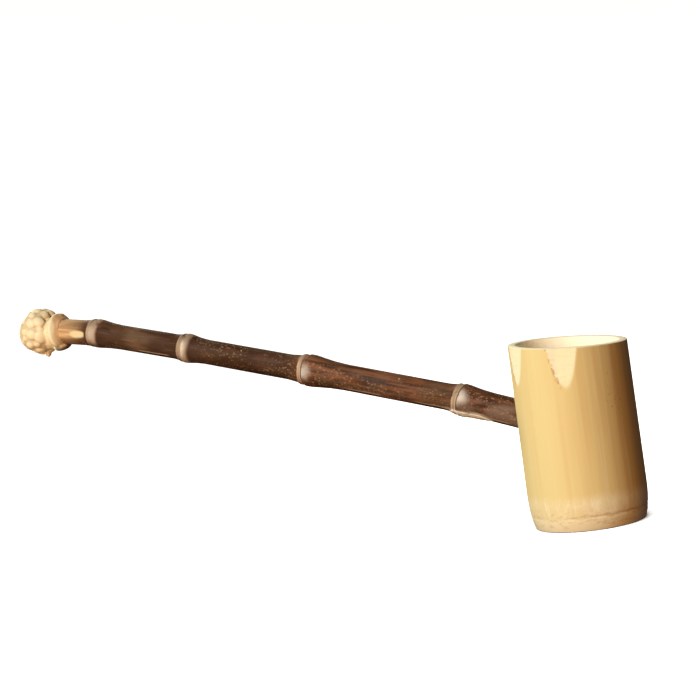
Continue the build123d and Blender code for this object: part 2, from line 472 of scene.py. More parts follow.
def hand_over(name, mesh, material, slot, *nodes):
    """Makes the finished piece, which rides on the dipper's body and stands for its CAD nodes."""
    mesh.name = name
    if not mesh.materials:
        mesh.materials.append(material)
    mesh.shade_smooth()
    mesh.set_sharp_from_angle(angle=SHARP_ANGLE)
    made = bpy.data.objects.new(name, mesh)
    pieces_collection().objects.link(made)
    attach(made, BODY)
    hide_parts(*nodes)


class GeometryTree(Tree):
    """A geometry node tree with named inputs, which is run once on a mesh."""

    KINDS = {"length": "NodeSocketFloat", "count": "NodeSocketInt", "finish": "NodeSocketMaterial"}

    def __init__(self, name, inputs):
        group = bpy.data.node_groups.new(name, "GeometryNodeTree")
        super().__init__(group)
        group.interface.new_socket("Geometry", in_out="INPUT", socket_type="NodeSocketGeometry")
        group.interface.new_socket("Geometry", in_out="OUTPUT", socket_type="NodeSocketGeometry")
        for label, kind in inputs.items():
            group.interface.new_socket(label, in_out="INPUT", socket_type=self.KINDS[kind])
        self.given = group.nodes.new("NodeGroupInput")

    def input(self, label):
        return Wire(self, self.given.outputs[label])

    def attribute(self, name, data_type="FLOAT"):
        return self.node("GeometryNodeInputNamedAttribute", {"data_type": data_type}, {"Name": name})

    def finish(self, geometry):
        """Ends the tree: instances are made real and get their material."""
        real = self.node("GeometryNodeRealizeInstances", inputs={"Geometry": geometry})
        wanted = {"Geometry": real, "Material": self.input("Finish")}
        dressed = self.node("GeometryNodeSetMaterial", inputs=wanted)
        self.node("NodeGroupOutput", inputs={0: dressed})

    def run(self, mesh, values):
        """The tree's result on a mesh, with its inputs set, as a plain mesh."""
        owner = scratch(self.made.name, mesh)
        modifier = owner.modifiers.new(self.made.name, "NODES")
        modifier.node_group = self.made
        for item in self.made.interface.items_tree:
            if item.in_out == "INPUT" and item.name in values:
                modifier[item.identifier] = values[item.name]
        return evaluated(owner)


# The cup

# Waves of the torn edges and of the scraper: their share or depth, their length, and the seed of the noise
TEAR_WAVES = ((1.0, 1.1 * MM, 0), (0.6, 3.5 * MM, 5))
TEAR_DEPTH = 0.13 * MM
TEAR_STRETCH = 3
TORN_TURNS = (math.radians(1), math.radians(8))
SCRAPER_WAVES = ((0.06 * MM, 2.6 * MM, 0), (0.08 * MM, 11 * MM, 3))
GROOVE_WANDER = 0.45 * MM
GROOVE_WIDTH = 0.55 * MM
GROOVE_LEAST_SHARE = 0.15
EASE_SHARES = ((0.29, 0.29), (1, 0))

# Distance between the cup's rings inside, on the flats, below them and beside the node
INSIDE_STEP = 2 * MM
FLAT_STEP = 0.5 * MM
SIDE_STEP = 1.5 * MM
NODE_STEP = 0.45 * MM


def cup_outline(cup):
    """Radius and height of the cup's rings, from the floor's middle over the rim to the foot's middle."""
    inner = cup.rim_radius - cup.wall
    floor_middle = cup.recess + cup.floor
    floor_edge = floor_middle + cup.dish
    dish_radius = inner - cup.corner
    rows = []
    for share in np.linspace(0.04, 1, 16):
        rows.append((dish_radius * share, floor_middle + cup.dish * share**2))
    for share in np.linspace(0.1, 1, 8):
        rows.append((dish_radius + cup.corner * (1 - (1 - share) ** 2), floor_edge + cup.corner * share**2))
    for height in spaced((floor_edge + cup.corner, cup.height - cup.rim_ease, INSIDE_STEP))[1:]:
        rows.append((inner, height))
    rows += [(inner + cup.rim_ease * out, cup.height - cup.rim_ease * down) for out, down in EASE_SHARES]
    rows.append(((inner + cup.rim_radius) / 2, cup.height))
    rows += [
        (cup.rim_radius - cup.rim_ease * out, cup.height - cup.rim_ease * down)
        for out, down in reversed(EASE_SHARES)
    ]
    flat_end = cup.height - 1.15 * cup.flat_length
    band_top = cup.belly_height + 3 * MM
    heights = spaced(
        (cup.height - cup.rim_ease, flat_end, FLAT_STEP),
        (flat_end, band_top, SIDE_STEP),
        (band_top, cup.foot_bevel, NODE_STEP),
    )
    rows += list(zip(cup_side(cup, heights), heights))
    bevel_middle = cup.foot_bevel * EASE_SHARES[0][0]
    rows.append((cup.foot_radius - bevel_middle, bevel_middle))
    ring_inside = cup.foot_radius - cup.foot_ring
    for radius in spaced((cup.foot_radius - cup.foot_bevel, ring_inside, 1 * MM)):
        rows.append((radius, 0))
    rows.append((ring_inside, cup.recess - cup.recess_bevel))
    for share in np.linspace(1, 0.05, 12):
        rows.append(((ring_inside - cup.recess_bevel) * share, cup.recess))
    return np.array(rows)


def cup_side(cup, heights):
    """Outside radius at each height: flared at the foot, widest at the belly, straight to the rim."""
    foot_slope = 0.35
    share = np.clip((heights - cup.foot_bevel) / (cup.belly_height - cup.foot_bevel), 0, 1)
    rise = foot_slope * (cup.belly_height - cup.foot_bevel)
    low = cup.foot_radius + (cup.belly_radius - cup.foot_radius) * share**2 * (3 - 2 * share)
    low += rise * share * (1 - share) ** 2
    above = np.clip((heights - cup.belly_height) / (cup.height - cup.belly_height), 0, 1)
    return low + (cup.rim_radius - cup.belly_radius) * above


def rim_height(cup, across):
    """Height of the oblique rim, at a distance from the cup's middle, away from the handle."""
    return cup.height - across * math.tan(cup.rim_lean)


def flat_radius(cup, direction, angles, heights, across):
    """Radius where one pared flat lies; its far side is torn along the fibres."""
    wall_growth = (cup.belly_radius - cup.rim_radius) / (cup.height - cup.belly_height)
    lean = cup.flat_depth / cup.flat_length + wall_growth
    offset = turned_from(angles, direction)
    distance = cup.rim_radius - cup.flat_depth + (rim_height(cup, across) - heights) * lean
    beside = offset * cup.rim_radius / TEAR_STRETCH
    tear_at = np.stack([beside, np.zeros_like(offset), heights], axis=-1).reshape(-1, 3)
    tear = sum(share * wander(tear_at, wave, direction + seed) for share, wave, seed in TEAR_WAVES)
    torn_side = smooth(-offset, *TORN_TURNS)
    distance = distance + TEAR_DEPTH * tear.reshape(offset.shape) * torn_side
    facing = np.cos(offset)
    return np.where(facing > 0.5, distance / np.maximum(facing, 0.5), 1.0)


def cup_rings(cup):
    """Points of the cup's rings, with its oblique rim, pared flats, scraped facets and sheath scar."""
    outline = cup_outline(cup)
    angles = even_turns(cup.sides)[None, :]
    radii, heights = outline[:, :1], outline[:, 1:]
    shear_from = cup.belly_height + 8 * MM
    raised = np.clip((heights - shear_from) / (cup.height - shear_from), 0, 1)
    across = radii * np.cos(angles)
    heights = heights - across * math.tan(cup.rim_lean) * raised
    radii = radii + np.zeros_like(angles)
    on_side = outline[:, 0] > cup.foot_radius - 1.2 * MM
    eased = outline[:, 1] > cup.height - cup.rim_ease
    inset = np.where(eased, cup.rim_radius - outline[:, 0], 0)[on_side, None]
    side = radii[on_side]
    for direction in (cup.near_flat, cup.side_flat):
        cut = flat_radius(cup, direction, angles + 0 * side, heights[on_side], across[on_side])
        side = np.minimum(side, cut - inset)
    ways = np.stack([np.cos(angles), np.sin(angles), 0 * angles], axis=-1)
    round_cup = ways.reshape(-1, 3) * cup.rim_radius
    scrape = sum(depth * (wander(round_cup, wave, seed) - 1) for depth, wave, seed in SCRAPER_WAVES)
    line = cup.node_height + GROOVE_WANDER * wander(round_cup, 4 * MM, 9)
    mark = np.exp(-(((heights[on_side] - line) / GROOVE_WIDTH) ** 2))
    mark = mark * (GROOVE_LEAST_SHARE + (1 - GROOVE_LEAST_SHARE) * smooth(across[on_side], -6 * MM, 14 * MM))
    side = side + scrape * smooth(heights[on_side], 3 * MM, 9 * MM) * (inset == 0) - cup.groove * mark
    radii[on_side] = side
    return np.stack([radii * np.cos(angles), radii * np.sin(angles), heights], axis=-1)


def handle_hole(cup, handle):
    """A bar as thick as the hole for the tenon, from the cup's middle out through the wall."""
    radius = handle.tenon_radius + handle.tenon_clearance
    line = HandleLine(handle)
    turns = even_turns(handle.sides)[:, None]
    side = np.array((0, -1, 0))
    rings = []
    for distance in (cup.rim_radius / 4, line.wall + 10 * MM):
        middle, _, rise = line.at(distance)
        rings.append(middle + radius * (np.cos(turns) * rise + np.sin(turns) * side))
    rings = np.array(rings)
    mesh = skin("hole", rings, rings[0].mean(0), rings[1].mean(0))
    outward(mesh)
    return mesh


def cup_masks(cup, mesh):
    """Where the cup is cut, pared or inside, for its finish."""
    points = spots(mesh)
    across, height = points[:, 0], points[:, 2]
    radii = np.hypot(points[:, 0], points[:, 1])
    angles = np.arctan2(points[:, 1], points[:, 0])
    inner = cup.rim_radius - cup.wall
    nominal = cup_side(cup, np.clip(height, cup.foot_bevel, cup.height))
    outside = radii > (inner + cup.rim_radius) / 2
    pared, fresh, torn = (np.zeros(len(points)) for _ in range(3))
    for direction in (cup.near_flat, cup.side_flat):
        gone = nominal - flat_radius(cup, direction, angles, height, across)
        offset = turned_from(angles, direction)
        here = smooth(gone, 0.02 * MM, 0.16 * MM) * outside
        pared = np.maximum(pared, here)
        fresh = np.maximum(fresh, here * smooth(offset, math.radians(-10), math.radians(-2)))
        edge = smooth(gone, -0.12 * MM, 0.02 * MM) * (1 - smooth(gone, 0.08 * MM, 0.25 * MM))
        torn = np.maximum(torn, edge * outside * smooth(-offset, math.radians(3), math.radians(6)))
    on_rim = smooth(height - rim_height(cup, across), -0.35 * MM, -0.1 * MM)
    on_foot = 1 - smooth(height, 0.1 * MM, 0.5 * MM)
    hollow = smooth(inner + 0.4 * MM - radii, 0, 0.3 * MM)
    store(
        mesh,
        end_grain=np.maximum(on_rim, on_foot),
        inside=hollow * (height > cup.recess + cup.floor / 2),
        pared=pared * (1 - on_rim),
        fresh=fresh * (1 - on_rim),
        torn=torn * (1 - on_rim),
    )


def make_cup(cup, handle, colours):
    mesh = skin("cup_body", cup_rings(cup), (0, 0, cup.recess + cup.floor), (0, 0, cup.recess))
    outward(mesh)
    owner, bar = scratch("cup_body", mesh), scratch("hole", handle_hole(cup, handle))
    cut = owner.modifiers.new("hole", "BOOLEAN")
    cut.operation = "DIFFERENCE"
    cut.solver = "EXACT"
    cut.object = bar
    mesh = evaluated(owner)
    bpy.data.objects.remove(bar)
    cup_masks(cup, mesh)
    hand_over("cup_body", mesh, cup_finish(cup, colours), "cup_bamboo", "cup")


# The handle

# Outline of a node's swelling: share of its length, towards the cup, and share of its height
NODE_OUTLINE_SHARES = (
    (-0.4, 0.0), (-0.12, 0.36), (-0.05, 0.8), (-0.01, 0.8), (0.02, 0.45),
    (0.1, 1.0), (0.22, 0.95), (0.42, 0.6), (0.65, 0.24), (1.0, 0.0),
)

# One value for each node, counted from the cup, but CULM_RADII has one for each stretch of culm, and
# SLOPES has one more for the knob. Rings and bloom patches, which are partly painted highlight, are measured
# from their node towards the cup
SLOPES = [math.radians(slope) for slope in (17.0, 14.1, 13.7, 13.0, 7.8, -3.4)]
CULM_RADII = [radius * MM for radius in (6.8, 6.55, 6.45, 6.6, 6.9)]
SWELLING_RADII = [radius * MM for radius in (7.8, 8.2, 7.8, 7.8)]
SWELLING_LENGTHS = [long * MM for long in (17.0, 24.0, 14.0, 18.0)]
RING_STARTS = [start * MM for start in (-1.3, -0.9, -0.9, -1.1)]
RING_ENDS = [end * MM for end in (1.3, 0.9, 5.4, 5.2)]
RING_EDGES = [edge * MM for edge in (0.25, 0.25, 1.4, 1.1)]
RING_LEANS = [lean * MM for lean in (0.6, -0.5, 0.0, 0.0)]
RING_LINES = [line * MM for line in (0.15, 3.0, 1.2, 6.0)]
RING_SHARES = (0.8, 0.9, 0.7, 0.66)
UNDER_SHARES = (0.0, 0.0, 0.0, 0.85)
GROOVE_SHARES = (0.9, 0.6, 0.0, 0.0)
# Bloom patches sit on each node's lit side: partly waxy bloom, partly painted highlight
BLOOM_HIGHLIGHT_STARTS = [start * MM for start in (1.7, 1.6, 2.0, -0.4)]
BLOOM_HIGHLIGHT_ENDS = [end * MM for end in (8.8, 8.6, 4.8, 5.6)]
BLOOM_HIGHLIGHT_TURNS = [math.radians(degrees) for degrees in (70, 86, 84, 87)]
BLOOM_HIGHLIGHT_SHARES = (0.8, 0.64, 0.95, 0.22)

# The same at every node
SWELLING_LIFT = 0.15 * MM
OVER_SHARE = 0.35
RING_LINE_WIDTH = 0.22 * MM
RING_LINE_SHARE = 0.55
GROOVE_AWAY = 0.35 * MM
GROOVE_HALF_WIDTH = 0.3 * MM
BLOOM_HIGHLIGHT_SPREAD = math.radians(42)
BLOOM_HIGHLIGHT_RAGGED_SHARE = 0.12
MASK_WAVER = 0.35 * MM

# The cut branch, and the furrows, whose shade is painted: a node, then start and end measured from that node
# towards the knob
BRANCH_START = 3.4 * MM
BRANCH_TIP = -21.5 * MM
FURROW_TURN = math.radians(132)
FURROW_SIDESTEP = 1.7 * MM
LIP_WIDTH = 0.32 * MM
LIP_SPLAY = 0.7 * MM
FURROWS = ((0, -30 * MM, -6 * MM), (0, 0, 24 * MM), (1, -48 * MM, -24 * MM), (2, 6 * MM, 30 * MM))


class HandleLine:
    """The handle's line, straight between the nodes and bent at each of them."""

    STEP = 0.25 * MM

    def __init__(self, handle):
        radius = settings().cup.rim_radius
        self.wall = radius / math.cos(SLOPES[0])
        lengths = (
            self.wall + handle.first_stretch,
            handle.second_internode,
            handle.third_internode,
            handle.fourth_internode,
            handle.neck,
        )
        corners = np.cumsum(lengths)
        self.nodes = corners[:-1]
        self.collar = corners[-1]
        ends = []
        for corner, before, after in zip(corners, SLOPES, SLOPES[1:]):
            half = handle.bend_radius * abs(before - after) / 2
            ends += [(corner - half, before), (corner + half, after)]
        knots = np.array(ends)
        self.steps = np.arange(0, self.collar + 60 * MM, self.STEP)
        self.slopes = np.interp(self.steps, knots[:, 0], knots[:, 1])
        moves = np.stack([-np.cos(self.slopes), 0 * self.slopes, np.sin(self.slopes)], axis=-1) * self.STEP
        start = np.array((0, 0, handle.entry_height - radius * math.tan(SLOPES[0])))
        halves = (moves[1:] + moves[:-1]) / 2
        self.points = start + np.concatenate([np.zeros((1, 3)), np.cumsum(halves, axis=0)])

    def at(self, distance):
        """Point, heading and upward direction at one distance or at many."""
        point = np.stack([np.interp(distance, self.steps, values) for values in self.points.T], axis=-1)
        slope = np.interp(distance, self.steps, self.slopes)
        heading = np.stack([-np.cos(slope), 0 * slope, np.sin(slope)], axis=-1)
        rise = np.stack([np.sin(slope), 0 * slope, np.cos(slope)], axis=-1)
        return point, heading, rise


def node_swelling(line, distances):
    """Culm radius and swelling lift at each distance."""
    radii = np.full(len(distances), CULM_RADII[0])
    lift = np.zeros(len(distances))
    along_shares, height_shares = np.array(NODE_OUTLINE_SHARES).T
    for index, place in enumerate(line.nodes):
        share = (place - distances) / SWELLING_LENGTHS[index]
        height = np.interp(share, along_shares, height_shares, left=0, right=0)
        radii = np.where(distances > place, CULM_RADII[index + 1], radii)
        radii += (SWELLING_RADII[index] - radii) * height
        lift += SWELLING_LIFT * height
    return radii, lift


def culm_path(handle, line):
    """The handle's line as a mesh of edges, with the radius, the lift and the bark at each point."""
    peg_x = (peg_low.x + peg_high.x) / 2
    peg_radius = (peg_high.x - peg_low.x) / 2
    tenon_end = -peg_x / math.cos(SLOPES[0]) - peg_radius - handle.tenon_beyond_peg
    shoulder = line.wall
    tenon = spaced((tenon_end, tenon_end + handle.tenon_ease, 0.25 * MM), (tenon_end, shoulder, 1.5 * MM))
    tenon = np.unique(tenon)
    fine = 0.3 * MM
    spans = [(shoulder + 0.5 * MM, line.nodes[0] - SWELLING_LENGTHS[0], 1 * MM)]
    for place, long in zip(line.nodes, SWELLING_LENGTHS):
        spans.append((place - long, place - 0.3 * long, 2 * fine))
        spans.append((place - 0.3 * long, place + 0.25 * long, fine))
    ends = [*(line.nodes[1:] - SWELLING_LENGTHS[1:]), line.collar + 2 * MM]
    for place, long, end in zip(line.nodes, SWELLING_LENGTHS, ends):
        spans.append((place + 0.25 * long, end, 1 * MM))
    culm = np.unique(spaced(*spans))
    culm = culm[np.append(True, np.diff(culm) > 0.1 * MM)]
    culm_radii, lift = node_swelling(line, culm)
    tenon_radii = handle.tenon_radius - np.clip(tenon_end + handle.tenon_ease - tenon, 0, None)
    edge = np.array((0.05, 0.12, 0.25)) * MM
    edge_radii = np.array((
        handle.tenon_radius + 0.1 * MM, CULM_RADII[0] - 0.3 * MM, CULM_RADII[0] - 0.05 * MM
    ))
    distances = np.concatenate([tenon, shoulder + edge, culm])
    radii = np.concatenate([tenon_radii, edge_radii, culm_radii])
    lifts = np.concatenate([0 * tenon, 0 * edge, lift])
    bark = smooth(distances, shoulder + 0.3 * MM, shoulder + 2 * MM)
    points, _, rise = line.at(distances)
    mesh = bpy.data.meshes.new("handle_line")
    mesh.from_pydata(points.tolist(), [(at, at + 1) for at in range(len(points) - 1)], [])
    store(mesh, swell=radii, along=distances, bark=bark, rise=rise * lifts[:, None])
    return mesh


def culm_tree():
    """Sweeps a ring along the handle's line and raises fine ridges along it."""
    inputs = {"Sides": "count", "Relief": "length", "Ridge": "length", "Seed": "length", "Finish": "finish"}
    tree = GeometryTree("culm", inputs)
    curve = tree.node("GeometryNodeMeshToCurve", inputs={"Mesh": tree.input("Geometry")})
    circle = {"Resolution": tree.input("Sides"), "Radius": 1.0}
    ring = tree.node("GeometryNodeCurvePrimitiveCircle", inputs=circle)
    place = tree.node("GeometryNodeInputPosition")
    ring = tree.node(
        "GeometryNodeStoreNamedAttribute",
        {"data_type": "FLOAT_VECTOR", "domain": "POINT"},
        {"Geometry": ring, "Name": "ring", "Value": place},
    )
    sweep = {"Curve": curve, "Profile Curve": ring, "Scale": tree.attribute("swell"), "Fill Caps": True}
    swept = tree.node("GeometryNodeCurveToMesh", inputs=sweep)
    raised = {"Geometry": swept, "Offset": tree.attribute("rise", "FLOAT_VECTOR")}
    lifted = tree.node("GeometryNodeSetPosition", inputs=raised)
    around = tree.attribute("ring", "FLOAT_VECTOR")
    straight = tree.node("ShaderNodeCombineXYZ", inputs={2: tree.attribute("along") * 6 + tree.input("Seed")})
    wide = tree.node("ShaderNodeVectorMath", {"operation": "ADD"}, {0: around, 1: straight})
    scale = CULM_RADII[0] / tree.input("Ridge")
    ridges = tree.node("ShaderNodeTexNoise", inputs={"Vector": wide, "Scale": scale, "Detail": 3.0})
    height = (ridges - 0.55) * tree.input("Relief") * tree.attribute("bark")
    normal = tree.node("GeometryNodeInputNormal")
    offset = tree.node("ShaderNodeVectorMath", {"operation": "SCALE"}, {0: normal, "Scale": height})
    ridged = tree.node("GeometryNodeSetPosition", inputs={"Geometry": lifted, "Offset": offset})
    tree.finish(ridged)
    return tree


def across_culm(line, points, along):
    """Sideways (towards the camera) and upward distance of points from the handle's line."""
    middle, _, rise = line.at(along)
    off = points - middle
    return -off[:, 1], (off * rise).sum(1)


def cope_shoulder(cup, handle, line, points, along):
    """Slides the culm's cup end along its line until the shoulder follows the cup's wall."""
    side, up = across_culm(line, points, along)
    wall = cup.rim_radius + handle.shoulder_clearance
    level = (np.sqrt(wall**2 - side**2) + up * math.sin(SLOPES[0])) / math.cos(SLOPES[0])
    reach = 12 * MM
    share = np.clip((along - line.wall) / reach, 0, 1)
    slide = np.where(along > line.wall + 0.01 * MM, (level - line.wall) * (1 - share), 0)
    _, heading, _ = line.at(along)
    return points + heading * slide[:, None]


def cut_lumen(handle, mesh):
    """Opens the culm's hollow in the tenon's end."""
    work = bmesh.new()
    work.from_mesh(mesh)
    caps = [face for face in work.faces if len(face.verts) > 4]
    end = max(caps, key=lambda face: face.calc_center_median().x)
    band = handle.tenon_radius - handle.tenon_ease - handle.lumen_radius
    bmesh.ops.inset_individual(work, faces=[end], thickness=band)
    bmesh.ops.inset_individual(work, faces=[end], thickness=0.05 * MM, depth=-handle.lumen_depth)
    work.to_mesh(mesh)
    work.free()


def scar_cut(handle, line, points, along):
    """Takes the bud off the neck with a round knife cut. Gives the points and how much went."""
    middle = line.nodes[3] + handle.scar_beyond_node
    side, up = across_culm(line, points, along)
    tilt = math.radians(2)
    outward_part = side * math.cos(tilt) - up * math.sin(tilt)
    scoop = (handle.scar_length**2 / 4 + handle.scar_depth**2) / (2 * handle.scar_depth)
    limit = CULM_RADII[-1] - handle.scar_depth + (along - middle) ** 2 / (2 * scoop)
    taken = np.clip(outward_part - limit, 0, None) * (np.abs(along - middle) < 0.56 * handle.scar_length)
    _, _, rise = line.at(along)
    toward = np.array((0, -1, 0)) * math.cos(tilt) - rise * math.sin(tilt)
    return points - toward * taken[:, None], taken


def branch_scar(line, points, along):
    """The long scar of a cut branch under the first node: a low lumpy lip. Gives the points and its mask."""
    side, up = across_culm(line, points, along)
    around = np.degrees(np.arctan2(side, up))
    start, tip = line.nodes[0] + BRANCH_START, line.nodes[0] + BRANCH_TIP
    share = (start - along) / (start - tip)
    middle = 154 - 10 * share
    half = np.interp(share, (0, 0.1, 0.3, 0.7, 1), (10, 31, 29, 25, 3))
    inside = smooth(half - np.abs(around - middle), 0, 4) * smooth(share, -0.02, 0.02)
    inside *= smooth(1 - share, 0, 0.05)
    lumps = 0.5 + 0.5 * wander(points, 2.2 * MM, 4)
    lip = inside * (0.25 + 0.45 * lumps * (1 - share)) * MM
    middle_point, _, _ = line.at(along)
    out = points - middle_point
    out /= np.linalg.norm(out, axis=1)[:, None]
    return points + out * lip[:, None], inside


def furrow_shade_and_lip(line, around, along, waver):
    """The narrow furrow under each stretch that has one, only painted, not cut: its painted shade, and where
    its tan lip lies.
    """
    furrow, lip = np.zeros(len(along)), np.zeros(len(along))
    over_branch = smooth(along - line.nodes[0], -22 * MM, -12 * MM) * (along < line.nodes[0])
    for node, start, stop in FURROWS:
        inside = smooth(along - line.nodes[node], start, start + 3 * MM)
        inside *= 1 - smooth(along - line.nodes[node], stop - 6 * MM, stop)
        off = (around - FURROW_TURN) * CULM_RADII[0] + waver + FURROW_SIDESTEP * over_branch
        width = LIP_WIDTH + LIP_SPLAY * np.exp(-(((along - line.nodes[0] - 3 * MM) / (3 * MM)) ** 2))
        lip = np.maximum(lip, inside * np.exp(-((off / width) ** 2)))
        dark = inside * smooth(off, 0.3 * MM, 0.9 * MM) * (1 - smooth(off, 1.2 * MM, 2.6 * MM))
        furrow = np.maximum(furrow, dark)
    return furrow, lip


def culm_masks(line, mesh, along, taken, branch):
    """Where the rings, the bloom with its painted highlight, the furrows' painted shade, scars and tenon are,
    for the culm's finish.
    """
    points = spots(mesh)
    side, up = across_culm(line, points, along)
    around = np.arctan2(side, up)
    grain = np.stack([np.sin(around) * CULM_RADII[0], np.cos(around) * CULM_RADII[0], along], axis=-1)
    waver = MASK_WAVER * wander(grain, 5 * MM, 2)
    soft = wander(grain, 3 * MM, 7)
    sheath, groove, bloom = (np.zeros(len(points)) for _ in range(3))
    for index, place in enumerate(line.nodes):
        before = place - along + waver - RING_LEANS[index] * np.cos(around)
        start, end, edge = RING_STARTS[index], RING_ENDS[index], RING_EDGES[index]
        ring = smooth(before, start - edge / 2, start + edge / 2)
        ring *= 1 - smooth(before, end - edge, end + edge)
        ring *= 1 - RING_LINE_SHARE * np.exp(-(((before - RING_LINES[index]) / RING_LINE_WIDTH) ** 2))
        ring *= RING_SHARES[index] * (1 - UNDER_SHARES[index] * smooth(-up / CULM_RADII[0], 0.3, 1.0))
        ring *= 1 - OVER_SHARE * smooth(up / CULM_RADII[0], 0.45, 1.0)
        sheath = np.maximum(sheath, ring)
        dark = np.exp(-(((before - end - GROOVE_AWAY) / GROOVE_HALF_WIDTH) ** 2))
        groove = np.maximum(groove, GROOVE_SHARES[index] * dark)
        # The bloom patch: waxy bloom, and painted highlight on the node's lit side
        start, end = BLOOM_HIGHLIGHT_STARTS[index], BLOOM_HIGHLIGHT_ENDS[index]
        beside = turned_from(around, BLOOM_HIGHLIGHT_TURNS[index])
        away = np.hypot((before - start) / (end - start), beside / BLOOM_HIGHLIGHT_SPREAD) + BLOOM_HIGHLIGHT_RAGGED_SHARE * soft
        patch = smooth(before, start, start + 0.4 * MM) * (1 - smooth(away, 0.15, 1.05))
        bloom = np.maximum(bloom, BLOOM_HIGHLIGHT_SHARES[index] * patch)
    furrow, lip = furrow_shade_and_lip(line, around, along, waver)
    store(mesh, grain=grain, furrow=furrow, lip=lip, sheath=sheath, groove=groove, bloom=bloom)
    store(mesh, scar=smooth(taken, 0.02 * MM, 0.3 * MM), branch=branch)
    # The neck's tan fades into brown bark on the underside, partly the bark's own colour and partly painted
    # shade beneath the bud scar; a little also towards the top
    under, over = smooth(up / CULM_RADII[-1], -0.15, -0.6), smooth(up / CULM_RADII[-1], 0.1, 0.9)
    neck = smooth(along, line.nodes[3] + 1 * MM, line.collar - 7 * MM) * (1 - 0.75 * under - 0.3 * over)
    tenon = 1 - smooth(along, line.wall - 0.3 * MM, line.wall + 0.4 * MM)
    store(mesh, neck=neck, tenon=tenon)


def make_culm(cup, handle, colours):
    line = HandleLine(handle)
    finish = culm_finish(line, colours)
    values = {
        "Sides": handle.sides, "Relief": handle.relief, "Ridge": handle.ridge,
        "Seed": float(handle.seed), "Finish": finish,
    }
    mesh = culm_tree().run(culm_path(handle, line), values)
    along = stored(mesh, "along")
    points = cope_shoulder(cup, handle, line, spots(mesh), along)
    points, taken = scar_cut(handle, line, points, along)
    points, branch = branch_scar(line, points, along)
    move(mesh, points)
    culm_masks(line, mesh, along, taken, branch)
    cut_lumen(handle, mesh)
    outward(mesh)
    hand_over("handle_culm", mesh, finish, "handle_bamboo", "handle")


# The root knob

COLLAR_OUTLINE_SHARES = (
    (-0.45, 0.66), (-0.2, 0.82), (0.0, 0.97), (0.15, 1.0),
    (0.3, 0.96), (0.42, 0.88), (0.6, 0.83), (1.0, 0.86),
)
BALL_OUTLINE_SHARES = (
    (0.06, 0.86), (0.18, 0.95), (0.34, 1.0), (0.53, 0.96),
    (0.72, 0.83), (0.88, 0.62), (0.95, 0.4), (0.98, 0.2),
)
# The tilt of each ring of stubs from the knob's end, in degrees, and how many stubs it has
STUB_RINGS = ((0.0, 1), (26.0, 6), (50.0, 10), (75.0, 13), (99.0, 13), (123.0, 11))
STUB_TURN = 17.0
STUB_TURN_WANDER = 9
STUB_TILT_WANDER = 5
STUB_SIZE_SHARES = (0.76, 1.18)
STUB_WIDE_SHARE = 1.06
STUB_NARROW_SHARE = 0.9
STUB_TALL_SHARE = 0.15
BALL_INSET = 0.25 * MM
STUB_CENTRE_SHARE = 0.36
FLATTENED_SHARE = 0.62
SOFTENING_SHARE = 0.5
SOFTENING_ROUNDS = 13


class KnobFrame:
    """The straight end of the handle's line, where the collar and the ball sit."""

    def __init__(self, handle, knob):
        line = HandleLine(handle)
        point, heading, rise = line.at(line.collar + 8 * MM)
        self.origin = point - heading * 8 * MM
        self.heading, self.rise = heading, rise
        self.side = np.array((0, -1, 0))
        self.ball = knob.collar_length + knob.length * STUB_CENTRE_SHARE

    def place(self, along, side, up):
        along, side, up = (np.asarray(value)[..., None] for value in (along, side, up))
        return self.origin + along * self.heading + side * self.side + up * self.rise

    def read(self, points):
        off = points - self.origin
        return off @ self.heading, off @ self.side, off @ self.rise


def knob_core(knob, seat):
    """Collar and ball without the root stubs."""
    outline = [
        (along * knob.collar_length, share * knob.collar_radius, 0)
        for along, share in COLLAR_OUTLINE_SHARES
    ]
    outline += [
        (knob.collar_length + along * knob.length, share * knob.radius - BALL_INSET, share * knob.lift)
        for along, share in BALL_OUTLINE_SHARES
    ]
    stations, radii, lifts = np.array(outline).T[:, :, None]
    turns = even_turns(72)[None, :]
    rings = seat.place(stations + 0 * turns, radii * np.sin(turns), radii * np.cos(turns) + lifts)
    first, last = seat.place(stations[0, 0], 0, 0), seat.place(stations[-1, 0], 0, lifts[-1, 0])
    mesh = skin("knob_core", rings, first, last)
    outward(mesh)
    return mesh


def stub_seats(knob, seat):
    """A mesh of points on the ball, one for each root stub, with the way that it points and its size."""
    rolls = np.random.default_rng(knob.seed)
    points, ways, sizes = [], [], []
    for ring, (tilt, count) in enumerate(STUB_RINGS):
        for step in range(count):
            off_turn = rolls.uniform(-STUB_TURN_WANDER, STUB_TURN_WANDER) * (count > 1)
            turned = math.radians(ring * STUB_TURN + step * 360 / count + off_turn)
            tipped = math.radians(tilt + rolls.uniform(-STUB_TILT_WANDER, STUB_TILT_WANDER))
            way = (math.cos(tipped), math.sin(tipped) * math.sin(turned), math.sin(tipped) * math.cos(turned))
            ways.append(seat.place(*way) - seat.origin)
            points.append(seat.place(seat.ball, 0, knob.lift * math.sin(math.radians(tilt))))
            sizes.append(rolls.uniform(*STUB_SIZE_SHARES))
    mesh = bpy.data.meshes.new("stub_seats")
    mesh.from_pydata([list(point) for point in points], [], [])
    store(mesh, way=np.array(ways), size=np.array(sizes))
    return mesh


